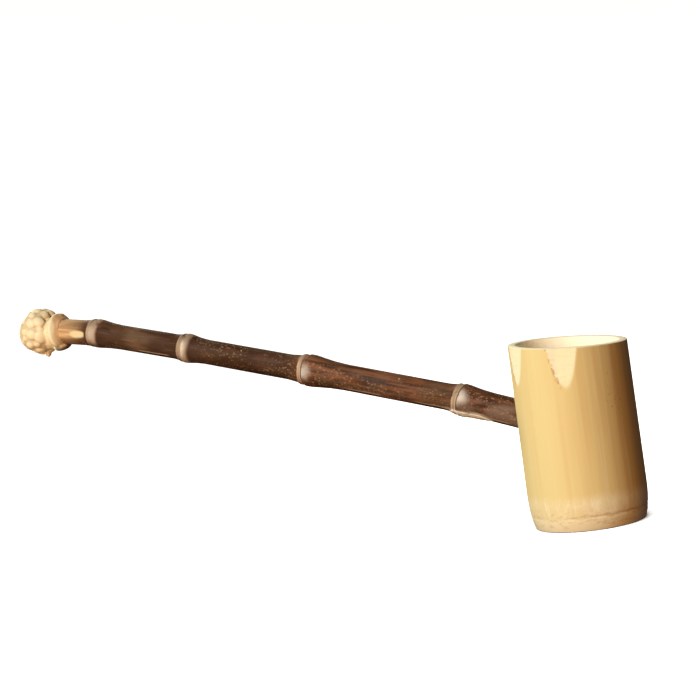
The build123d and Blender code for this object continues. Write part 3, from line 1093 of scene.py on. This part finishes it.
def stub_tree():
    """Sets one trimmed root on each seat of the ball."""
    inputs = {"Radius": "length", "Height": "length", "Ball": "length", "Finish": "finish"}
    tree = GeometryTree("root_stubs", inputs)
    radius, height, ball = tree.input("Radius"), tree.input("Height"), tree.input("Ball")
    stub = tree.node("GeometryNodeMeshUVSphere", inputs={"Segments": 14, "Rings": 10, "Radius": radius})
    lift = tree.node("ShaderNodeCombineXYZ", inputs={2: ball + height - radius * FLATTENED_SHARE})
    flattened = {"Geometry": stub, "Translation": lift, "Scale": (1, 1, FLATTENED_SHARE)}
    stub = tree.node("GeometryNodeTransform", inputs=flattened)
    way = {"Vector": tree.attribute("way", "FLOAT_VECTOR")}
    turned = tree.node("FunctionNodeAlignRotationToVector", {"axis": "Z"}, way)
    size = tree.attribute("size")
    tall = size * STUB_TALL_SHARE + (1 - STUB_TALL_SHARE)
    scales = {0: size * STUB_WIDE_SHARE, 1: size * STUB_NARROW_SHARE, 2: tall}
    wide = tree.node("ShaderNodeCombineXYZ", inputs=scales)
    stubs = tree.node(
        "GeometryNodeInstanceOnPoints",
        inputs={"Points": tree.input("Geometry"), "Instance": stub, "Rotation": turned, "Scale": wide},
    )
    tree.finish(stubs)
    return tree


def knob_lumps(knob, seat):
    """The spur below the ball, and the lobes of the collar."""
    # Where each lump's middle is along, beside and above the line, then half its length, width and height
    lumps = (
        (seat.ball - 1.3 * MM, 0, knob.lift - knob.radius - 0.6 * MM, 1.7 * MM, 1.7 * MM, knob.spur),
        (1.2 * MM, 2 * MM, -knob.collar_radius + 1.9 * MM, 4.6 * MM, 3.4 * MM, 2.1 * MM),
        (1.8 * MM, -1 * MM, knob.collar_radius - 1.6 * MM, 3.4 * MM, 4.2 * MM, 1.5 * MM),
        (1.4 * MM, 5.5 * MM, knob.collar_radius - 4.6 * MM, 2.8 * MM, 2.6 * MM, 2.0 * MM),
    )
    turns = even_turns(24)[None, :]
    tilts = np.linspace(math.pi / 14, math.pi * 13 / 14, 13)[:, None]
    made = []
    for along, side, up, long, wide, tall in lumps:
        rings = seat.place(
            along + long * np.cos(tilts) + 0 * turns,
            side + wide * np.sin(tilts) * np.sin(turns),
            up + tall * np.sin(tilts) * np.cos(turns),
        )
        lump = skin("lump", rings, seat.place(along + long, side, up), seat.place(along - long, side, up))
        outward(lump)
        made.append(lump)
    return made


def grown_together(name, meshes, voxel):
    """One closed surface round all the meshes, softened like grown wood."""
    work = bmesh.new()
    for mesh in meshes:
        work.from_mesh(mesh)
    joined = bpy.data.meshes.new(name)
    work.to_mesh(joined)
    work.free()
    owner = scratch(name, joined)
    remesh = owner.modifiers.new("grow", "REMESH")
    remesh.mode = "VOXEL"
    remesh.voxel_size = voxel
    soften = owner.modifiers.new("soften", "SMOOTH")
    soften.factor = SOFTENING_SHARE
    soften.iterations = SOFTENING_ROUNDS
    return evaluated(owner)


def knob_masks(knob, seat, mesh):
    """How far each point stands out, and where the collar's shoulder, its border and its underside, with its
    olive tint and painted shade, are.
    """
    points = spots(mesh)
    along, side, up = seat.read(points)
    beyond = np.clip((along - seat.ball) / knob.radius, 0, 1)
    above = up - knob.lift * np.sqrt(1 - beyond**2)
    from_ball = np.sqrt((along - seat.ball) ** 2 + side**2 + above**2) - knob.radius
    on_collar = 1 - smooth(along, 0.25 * knob.collar_length, 0.5 * knob.collar_length)
    valley = np.exp(-(((along - 0.58 * knob.collar_length) / (1.2 * MM)) ** 2))
    waver = 0.8 * MM * wander(points, 4 * MM, 6)
    border = 1.6 * MM * smooth(up / knob.collar_radius, 0.5, 0.95) - 1.6 * MM
    beyond_border = along + waver - border
    store(
        mesh,
        stand=np.maximum(smooth(from_ball, -0.3 * MM, 0.7 * MM), on_collar) * (1 - 0.7 * valley),
        shoulder=1 - smooth(beyond_border, -0.6 * MM, 0.6 * MM),
        border=np.exp(-((beyond_border / (0.5 * MM)) ** 2)),
        # The collar's underside: olive, partly the root's colour and partly painted shade
        underside=on_collar * smooth(-up / knob.collar_radius, 0.6, 0.95),
    )


def knife_flat(knob, seat, mesh):
    """Flattens the ball where the knife took a slice off its upper near side."""
    points = spots(mesh)
    across, along = math.sin(knob.facet_tilt), math.cos(knob.facet_tilt)
    side, up = across * math.cos(knob.facet_turn), across * math.sin(knob.facet_turn)
    way = seat.place(along, side, up) - seat.origin
    ball = seat.place(seat.ball, 0, knob.lift)
    over = (points - ball) @ way - (knob.radius - knob.facet_depth)
    move(mesh, points - np.clip(over, 0, None)[:, None] * way)


def make_knob(handle, knob, colours):
    seat = KnobFrame(handle, knob)
    finish = root_finish(colours)
    values = {"Radius": knob.stub_radius, "Height": knob.stub_height, "Ball": knob.radius, "Finish": finish}
    stubs = stub_tree().run(stub_seats(knob, seat), values)
    mesh = grown_together("root_knob", [knob_core(knob, seat), stubs, *knob_lumps(knob, seat)], knob.voxel)
    knife_flat(knob, seat, mesh)
    knob_masks(knob, seat, mesh)
    outward(mesh)
    hand_over("root_knob", mesh, finish, "handle_bamboo", "handle")


# The locking peg

def make_peg(peg, colours):
    rolls = np.random.default_rng(peg.seed)
    head, tip = peg_low.y, peg_high.y
    ends = spaced((head, head + peg.ease, peg.ease), (head + peg.ease, tip - peg.ease, 1.2 * MM))
    ends = np.append(ends, tip)
    share = (ends - head) / (tip - head)
    radii = peg.head_radius + (peg.tip_radius - peg.head_radius) * share
    radii[[0, -1]] -= peg.ease
    turns = even_turns(peg.facets)
    uneven = rolls.uniform(0.93, 1.0, (1, peg.facets)) * rolls.uniform(0.98, 1.0, (len(ends), peg.facets))
    middle_x, middle_z = (peg_low.x + peg_high.x) / 2, (peg_low.z + peg_high.z) / 2
    wide = radii[:, None] * uneven
    rings = np.stack(
        [middle_x + wide * np.cos(turns), ends[:, None] + 0 * wide, middle_z + wide * np.sin(turns)], axis=-1
    )
    mesh = skin("peg", rings, (middle_x, ends[0], middle_z), (middle_x, ends[-1], middle_z))
    outward(mesh)
    hand_over("peg", mesh, peg_finish(colours), "peg_bamboo", "locking_peg")


# Finishes

def cup_body_colour(finish, place, fibres, streaks, colours):
    """Scraped bamboo: soft upright streaks, more of them on the side away from the handle; the browner ones
    there are partly the bamboo's own and partly painted shade.
    """
    across, _, height = place.parts()
    tone = finish.noise(place.stretched(1, 1, 0.2), 50, 2)
    deep = streaks.ramp(0.4, 0.7) * 0.2 + tone.ramp(0.35, 0.75) * 0.35 + fibres.ramp(0.45, 0.75) * 0.12
    body = finish.mix(deep, colours.skinned, colours.skinned_deep)
    wide = finish.noise(place.stretched(1, 1, 0.03).shifted(0.4, 0.2, 0), 300, 3).ramp(0.42, 0.66)
    light = finish.noise(place.stretched(1, 1, 0.03).shifted(0.1, 0.5, 0), 380, 3).ramp(0.5, 0.68)
    # Browner streaks on the side away from the handle, heavier higher up: partly the bamboo's own, partly
    # painted shade
    far_side = across.ramp(2 * MM, 20 * MM)
    body = finish.mix(light * (far_side * 0.26 + 0.06), body, colours.cream)
    upper = height.ramp(28 * MM, 56 * MM) * 0.2 + 0.08
    return finish.mix(wide * far_side * upper, body, colours.brown_streak_and_shade)


def cup_node_marks(finish, cup, place, body, colours):
    """Pale flecks and short strokes above the foot, faint ripples and the brown line of the sheath's scar."""
    across, _, height = place.parts()
    wave = (finish.noise(place.stretched(1, 1, 0.1), 200, 2) - 0.5) * (2.4 * MM)
    above_foot = height + wave
    band = above_foot.ramp(18 * MM, 12 * MM)
    flecks = finish.cells(place.stretched(1, 1, 0.6), 900).ramp(0.45, 0.15)
    strokes = finish.noise(place.stretched(1, 1, 0.16), 900, 2).ramp(0.48, 0.62)
    far_side = across.ramp(2 * MM, 18 * MM) * 0.45
    body = finish.mix(band * (flecks * 0.3 + strokes * 0.3 + far_side + 0.3), body, colours.cream)
    below = above_foot.ramp(cup.node_height, cup.node_height - 1 * MM)
    body = finish.mix(below * 0.68, body, colours.cream)
    ripples = finish.noise(place.stretched(0.4, 0.4, 1), 650, 2, 0.6).ramp(0.5, 0.64)
    rippled = ripples * above_foot.ramp(11 * MM, 8 * MM) * above_foot.ramp(0.5 * MM, 3 * MM)
    body = finish.mix(rippled * 0.3, body, colours.brown_streak_and_shade)
    line = abs(above_foot - cup.node_height).ramp(0.9 * MM, 0.1 * MM)
    broken = finish.noise(place.stretched(1, 1, 0.5), 170, 2).ramp(0.35, 0.6)
    strength = across.ramp(-4 * MM, 16 * MM) * 0.4
    return finish.mix(line * strength * (broken * 0.7 + 0.3), body, colours.tan)


def cup_specks(finish, cup, place, body, colours):
    """A few brown specks in one patch of the cup's side."""
    across, depth, height = place.parts()
    around = finish.node("ShaderNodeMath", {"operation": "ARCTAN2"}, {0: depth, 1: across})
    beside = abs(around - cup.speck_turn).ramp(math.radians(13), math.radians(6))
    patch = beside * abs(height - cup.speck_height).ramp(12 * MM, 7 * MM)
    specks = finish.cells(place.stretched(1, 1, 0.6), 520).ramp(0.3, 0.06)
    return finish.mix(specks * patch * 0.35, body, colours.tan)


def cup_finish(cup, colours):
    """Scraped bamboo with its node's marks, the paler pared flats, the pale inside and the cut rim."""
    finish = Finish("scraped_bamboo")
    place = finish.place()
    fibres = finish.noise(place.stretched(1, 1, 0.01), 1700, 3, 0.6)
    streaks = finish.noise(place.stretched(1, 1, 0.02), 330, 3)
    body = cup_body_colour(finish, place, fibres, streaks, colours)
    body = cup_node_marks(finish, cup, place, body, colours)
    body = cup_specks(finish, cup, place, body, colours)
    chatter = finish.noise(place.stretched(0.2, 0.2, 1), 700, 2)
    pared = finish.mix(finish.mask("fresh"), colours.pared_warm, colours.pared)
    pared = finish.mix(fibres.ramp(0.4, 0.75) * 0.15 + chatter.ramp(0.45, 0.7) * 0.15, pared, colours.skinned)
    body = finish.mix(finish.mask("pared"), body, pared)
    torn = finish.mask("torn") * finish.noise(place.stretched(1, 1, 0.6), 800, 2).ramp(0.42, 0.6)
    body = finish.mix(torn * 0.55, body, colours.tan)
    inside = finish.mix(streaks.ramp(0.35, 0.7) * 0.12, colours.inside, colours.cream)
    body = finish.mix(finish.mask("inside"), body, inside)
    pores = finish.cells(place, 1500).ramp(0.35, 0.15)
    cut = finish.mix(pores * 0.3, colours.end_grain, colours.tan)
    body = finish.mix(finish.mask("end_grain"), body, cut)
    rough = 0.5 + finish.mask("end_grain") * 0.3 + finish.mask("pared") * 0.12 + streaks * 0.1
    normal = finish.bump(fibres * 0.6 + streaks * 0.4, 0.1 * MM, 0.5)
    return finish.surface(Base_Color=body, Roughness=rough, Normal=normal, Specular_IOR_Level=0.3)


def bark_colour(finish, line, grain, streaks, fine, colours):
    """The culm's brown skin: darker and browner towards the knob, redder towards the cup, with painted shade
    along the top beside the cup.
    """
    _, up, along = grain.parts()
    clouds = finish.noise(grain.stretched(1, 1, 0.35), 120, 3)
    other = finish.noise(grain.stretched(1, 1, 0.3).shifted(0.3, 0.1, 0.2), 150, 3)
    red = finish.mix(along.ramp(145 * MM, 160 * MM), colours.bark_red, colours.bark)
    body = finish.mix(streaks.ramp(0.36, 0.62), colours.bark_deep, red)
    blotches = finish.noise(grain.stretched(1, 1, 0.4).shifted(0.7, 0.2, 0.5), 260, 3)
    body = finish.mix(blotches.ramp(0.5, 0.66) * 0.35, body, colours.bark_red)
    body = finish.mix(blotches.ramp(0.45, 0.32) * 0.4, body, colours.bark_deep)
    body = finish.mix(clouds.ramp(0.52, 0.68) * 0.5, body, colours.bark_olive)
    first, second, third, _ = line.nodes
    beyond_second = along.ramp(second + 4 * MM, second + 16 * MM)
    darker = beyond_second * along.ramp(third + 34 * MM, third + 24 * MM) * 0.5
    # Painted shade: the top of the stretch from the cup to the first node is darkened and kept free of mauve
    painted_top_shade = up.ramp(0.2 * CULM_RADII[0], 0.8 * CULM_RADII[0]) * along.ramp(first + 2 * MM, first - 6 * MM)
    body = finish.mix(darker.most(painted_top_shade * 0.5), body, colours.bark_deep)
    dull = abs(along - (first + 11 * MM)).ramp(11 * MM, 4 * MM)
    body = finish.mix(dull * 0.45, body, colours.bark_olive)
    near_cup = along.ramp(first + 98 * MM, first + 83 * MM) * 0.15
    near_cup = near_cup + along.ramp(first + 2 * MM, first - 4 * MM) * 0.55
    body = finish.mix(other.ramp(0.38, 0.6) * (near_cup + 0.09) * (1 - painted_top_shade * 0.9), body, colours.bark_mauve)
    worn = abs(along - (third + 27 * MM)).ramp(12 * MM, 4 * MM) * clouds.ramp(0.3, 0.5)
    body = finish.mix(worn * 0.1, body, colours.speckle)
    return finish.mix(fine.ramp(0.58, 0.78) * 0.15, body, colours.speckle)


def bark_flecks(finish, grain):
    """Crowds of small pale flecks, in patches along the culm."""
    patches = finish.noise(grain.stretched(1, 1, 0.22), 80, 2).ramp(0.42, 0.56)
    small = finish.cells(grain.stretched(1, 1, 0.7), 900).ramp(0.5, 0.1)
    larger = finish.cells(grain.stretched(1, 1, 0.6), 500).ramp(0.36, 0.06)
    chosen = finish.noise(grain, 900, 1).ramp(0.44, 0.56)
    return small.most(larger) * patches * chosen


def culm_finish(line, colours):
    """Brown culm skin with pale flecks, tan sheath rings, waxy bloom with painted highlights, painted furrow
    shade, scars, a tan neck and a raw tenon.
    """
    finish = Finish("brown_culm")
    grain = finish.vector("grain")
    fine = finish.noise(grain.stretched(1, 1, 0.05), 1500, 3, 0.6)
    streaks = finish.noise(grain.stretched(1, 1, 0.1), 420, 3, 0.6)
    body = bark_colour(finish, line, grain, streaks, fine, colours)
    flecks = bark_flecks(finish, grain)
    body = finish.mix(flecks * 0.4, body, colours.speckle)
    bright = finish.cells(grain, 110).ramp(0.05, 0.03)
    body = finish.mix(bright * 0.8, body, colours.scar)
    neck = finish.mix(streaks.ramp(0.4, 0.7) * 0.45, colours.neck, colours.bark)
    body = finish.mix(finish.mask("neck"), body, neck)
    # Painted shade of the furrows: the mesh has no groove there
    body = finish.mix(finish.mask("furrow") * 0.8, body, colours.bark_deep)
    body = finish.mix(finish.mask("groove"), body, colours.bark_deep)
    body = finish.mix(finish.mask("lip") * streaks.ramp(0.2, 0.45) * 0.95, body, colours.sheath)
    # Bloom: waxy bloom, and painted highlight on each node's lit side
    bloom = finish.mask("bloom") * finish.noise(grain, 500, 3).ramp(0.2, 0.45)
    ring = finish.mask("sheath") * finish.noise(grain, 260, 2).ramp(0.2, 0.4)
    body = finish.mix(ring, body, colours.sheath)
    body = finish.mix(bloom, body, colours.bloom)
    body = finish.mix(finish.mask("scar"), body, colours.scar)
    branch = finish.mask("branch") * finish.noise(grain, 600, 2).ramp(0.2, 0.45)
    body = finish.mix(branch, body, colours.branch)
    raw = finish.mix(streaks * 0.5, colours.cream, colours.skinned_deep)
    body = finish.mix(finish.mask("tenon"), body, raw)
    rough = 0.5 + bloom * 0.2 + streaks * 0.15 + finish.mask("scar") * 0.2 + finish.mask("tenon") * 0.25
    normal = finish.bump(fine * 0.5 + streaks * 0.5 + flecks * 0.4, 0.15 * MM, 0.7)
    return finish.surface(Base_Color=body, Roughness=rough, Normal=normal, Specular_IOR_Level=0.1)


def root_finish(colours):
    """Pale trimmed roots with slightly darker hollows, the collar's tan shoulder, and olive with painted
    shade on the collar's underside.
    """
    finish = Finish("root_wood")
    place = finish.place()
    mottle = finish.noise(place, 300, 3)
    grit = finish.noise(place, 1600, 2)
    stand = finish.mask("stand") + (mottle - 0.5) * 0.5
    body = finish.mix(stand.ramp(0.0, 0.6), colours.root_groove, colours.root)
    body = finish.mix(mottle.ramp(0.5, 0.75) * 0.2, body, colours.skinned_deep)
    tan = finish.mix(mottle.ramp(0.4, 0.7) * 0.2, colours.neck, colours.bark)
    body = finish.mix(finish.mask("shoulder"), body, tan)
    body = finish.mix(finish.mask("border") * 0.35, body, colours.tan)
    # Olive on the collar's underside: partly the root's colour, partly painted shade
    body = finish.mix(finish.mask("underside") * 0.85, body, colours.bark_olive)
    rough = 0.5 + grit * 0.2
    normal = finish.bump(mottle * 0.6 + grit * 0.4, 0.2 * MM, 0.6)
    return finish.surface(Base_Color=body, Roughness=rough, Normal=normal)


def peg_finish(colours):
    """Whittled bamboo with its fibres along the peg."""
    finish = Finish("whittled_bamboo")
    place = finish.place()
    fibres = finish.noise(place.stretched(1, 0.04, 1), 1800, 3, 0.6)
    body = finish.mix(fibres.ramp(0.3, 0.7), colours.cream, colours.skinned_deep)
    normal = finish.bump(fibres, 0.1 * MM, 0.5)
    return finish.surface(Base_Color=body, Roughness=0.5 + fibres * 0.15, Normal=normal)


# The studio

def way_towards(azimuth, elevation):
    """Direction from the dipper to a place at that azimuth and elevation; azimuth 0 is in front of it."""
    level = math.cos(elevation)
    return Vector((math.sin(azimuth) * level, -math.cos(azimuth) * level, math.sin(elevation)))


def make_floor(studio):
    """A pale round floor that curves up into a wall on all sides."""
    turns = even_turns(128)[None, :]
    tilts = np.linspace(0, math.pi / 2, 25)[1:]
    flat, sweep = studio.floor_radius, studio.sweep_radius
    radii = [flat * 0.5, flat, *(flat + sweep * np.sin(tilts))]
    heights = [0, 0, *(sweep * (1 - np.cos(tilts)))]
    radii.append(radii[-1])
    heights.append(3 * sweep)
    radii, heights = np.array(radii)[:, None], np.array(heights)[:, None] + 0 * turns
    rings = np.stack([radii * np.cos(turns), radii * np.sin(turns), heights], axis=-1)
    floor = bpy.data.objects.new("floor", skin("floor", rings, first=(0, 0, 0)))
    outward(floor.data)
    floor.data.shade_smooth()
    paper = Finish("pale_paper")
    pale = paper.surface(Base_Color=(0.9, 0.89, 0.87), Roughness=0.9, Specular_IOR_Level=0.0)
    floor.data.materials.append(pale)
    floor.visible_diffuse = False
    floor.visible_glossy = False
    bpy.context.scene.collection.objects.link(floor)
    return floor


class Lamp(NamedTuple):
    """A soft square lamp: the direction that it stands in, how far off, its width, its power and its tint."""

    azimuth: float
    elevation: float
    distance: float
    width: float
    watts: float
    tint: tuple
    aim: Vector


def make_lamp(name, kind, lit):
    """A lamp that looks at its aim and shines only on the lit collection."""
    data = bpy.data.lights.new(name, "AREA")
    data.shape = "SQUARE"
    data.size = kind.width
    data.energy = kind.watts
    data.color = kind.tint
    lamp = bpy.data.objects.new(name, data)
    back = way_towards(math.radians(kind.azimuth), math.radians(kind.elevation))
    lamp.location = kind.aim + back * kind.distance
    lamp.rotation_euler = (-back).to_track_quat("-Z", "Y").to_euler()
    lamp.visible_camera = False
    bpy.context.scene.collection.objects.link(lamp)
    lamp.light_linking.receiver_collection = lit


def make_world():
    world = bpy.data.worlds.new("room")
    bpy.context.scene.world = world
    world.use_nodes = True
    world.node_tree.nodes.clear()
    room = Tree(world.node_tree)
    sky = room.node("ShaderNodeBackground", inputs={"Color": (1.0, 0.62, 0.5), "Strength": 0.085})
    room.node("ShaderNodeOutputWorld", inputs={"Surface": sky})


def make_camera(studio):
    """The photograph's camera: it looks level, is rolled, and has the cup at its place in the picture."""
    back = way_towards(studio.azimuth, studio.elevation)
    right = (-back).cross(UP).normalized()
    above = right.cross(-back)
    rolled_right = right * math.cos(studio.roll) + above * math.sin(studio.roll)
    rolled_above = above * math.cos(studio.roll) - right * math.sin(studio.roll)
    data = bpy.data.cameras.new("camera")
    data.lens = studio.lens
    focal = studio.lens / data.sensor_width * PHOTO_WIDTH
    middle = PHOTO_WIDTH / 2
    across, down = studio.target_x - middle, studio.target_y - middle
    ray = -back * focal + rolled_right * across - rolled_above * down
    camera = bpy.data.objects.new("camera", data)
    turned_to = Matrix((rolled_right, rolled_above, back)).transposed().to_4x4()
    target = UP * studio.target_height
    camera.matrix_world = Matrix.Translation(target - ray.normalized() * studio.distance) @ turned_to
    data.clip_start, data.clip_end = 0.01, 100
    bpy.context.scene.collection.objects.link(camera)
    bpy.context.scene.camera = camera


def make_studio(studio):
    floor = make_floor(studio)
    backdrop = bpy.data.collections.new("backdrop")
    backdrop.objects.link(floor)
    dipper = pieces_collection()
    middle = (Vector(cad_bounds[0]) + Vector(cad_bounds[1])) / 2
    knob = Vector((cad_bounds[0][0] + 20 * MM, 0, cad_bounds[1][2] - 15 * MM))
    for name, kind in (
        ("key", Lamp(-11, 34, 1.3, 0.4, 18, (0.7, 0.93, 1.0), middle)),
        ("warm", Lamp(8, 12, 1.6, 0.5, 15.5, (1.0, 0.5, 0.16), middle)),
        ("back_left", Lamp(-125, 25, 1.6, 0.6, 12, (1.0, 0.85, 0.66), middle)),
        ("back_right", Lamp(190, 15, 1.8, 0.6, 5, (1.0, 0.85, 0.66), middle)),
        ("under_knob", Lamp(-25, -40, 0.14, 0.08, 0.085, (1.0, 0.85, 0.65), knob)),
    ):
        make_lamp(name, kind, dipper)
    make_lamp("floor_light", Lamp(0, 80, 2.2, 2.0, 160, (1.0, 1.0, 1.0), middle), backdrop)
    make_world()
    make_camera(studio)
    bpy.context.scene.view_settings.view_transform = "Standard"


# Add-on

class DipperSettings(bpy.types.PropertyGroup):
    cup: PointerProperty(type=CupSizes)
    handle: PointerProperty(type=HandleSizes)
    knob: PointerProperty(type=KnobSizes)
    peg: PointerProperty(type=PegSizes)
    colours: PointerProperty(type=BambooColours)
    studio: PointerProperty(type=StudioSettings)


def settings():
    return bpy.context.scene.dipper


class DIPPER_OT_studio(bpy.types.Operator):
    """Make the pale floor, the lamps and the camera"""

    bl_idname = "dipper.studio"
    bl_label = "Studio"

    def execute(self, context):
        make_studio(context.scene.dipper.studio)
        return {"FINISHED"}


class DIPPER_OT_cup(bpy.types.Operator):
    """Make the cup with its pared flats and node"""

    bl_idname = "dipper.cup"
    bl_label = "Cup"

    def execute(self, context):
        given = context.scene.dipper
        make_cup(given.cup, given.handle, given.colours)
        return {"FINISHED"}


class DIPPER_OT_culm(bpy.types.Operator):
    """Make the handle's culm with its nodes, scars and tenon"""

    bl_idname = "dipper.culm"
    bl_label = "Handle culm"

    def execute(self, context):
        given = context.scene.dipper
        make_culm(given.cup, given.handle, given.colours)
        return {"FINISHED"}


class DIPPER_OT_knob(bpy.types.Operator):
    """Make the root knob with its collar and trimmed stubs"""

    bl_idname = "dipper.knob"
    bl_label = "Root knob"

    def execute(self, context):
        given = context.scene.dipper
        make_knob(given.handle, given.knob, given.colours)
        return {"FINISHED"}


class DIPPER_OT_peg(bpy.types.Operator):
    """Make the whittled locking peg"""

    bl_idname = "dipper.peg"
    bl_label = "Locking peg"

    def execute(self, context):
        given = context.scene.dipper
        make_peg(given.peg, given.colours)
        return {"FINISHED"}


class DIPPER_PT_sidebar(bpy.types.Panel):
    """Sizes, colours and operators of the dipper"""

    bl_idname = "DIPPER_PT_sidebar"
    bl_label = "Water dipper"
    bl_space_type = "VIEW_3D"
    bl_region_type = "UI"
    bl_category = "Dipper"

    def draw(self, context):
        given = context.scene.dipper
        for group in (given.cup, given.handle, given.knob, given.peg, given.colours, given.studio):
            box = self.layout.box()
            for name in group.bl_rna.properties.keys():
                if name not in {"rna_type", "name"}:
                    box.prop(group, name)
        for operator in OPERATORS:
            self.layout.operator(operator.bl_idname)


OPERATORS = (DIPPER_OT_studio, DIPPER_OT_cup, DIPPER_OT_culm, DIPPER_OT_knob, DIPPER_OT_peg)
CLASSES = (
    CupSizes, HandleSizes, KnobSizes, PegSizes, BambooColours, StudioSettings, DipperSettings,
    *OPERATORS, DIPPER_PT_sidebar,
)


def register():
    for added in CLASSES:
        bpy.utils.register_class(added)
    bpy.types.Scene.dipper = PointerProperty(type=DipperSettings)


def unregister():
    del bpy.types.Scene.dipper
    for added in reversed(CLASSES):
        bpy.utils.unregister_class(added)


def main():
    register()
    bpy.ops.dipper.studio()
    bpy.ops.dipper.cup()
    bpy.ops.dipper.culm()
    bpy.ops.dipper.knob()
    bpy.ops.dipper.peg()


if __name__ == "__main__":
    main()
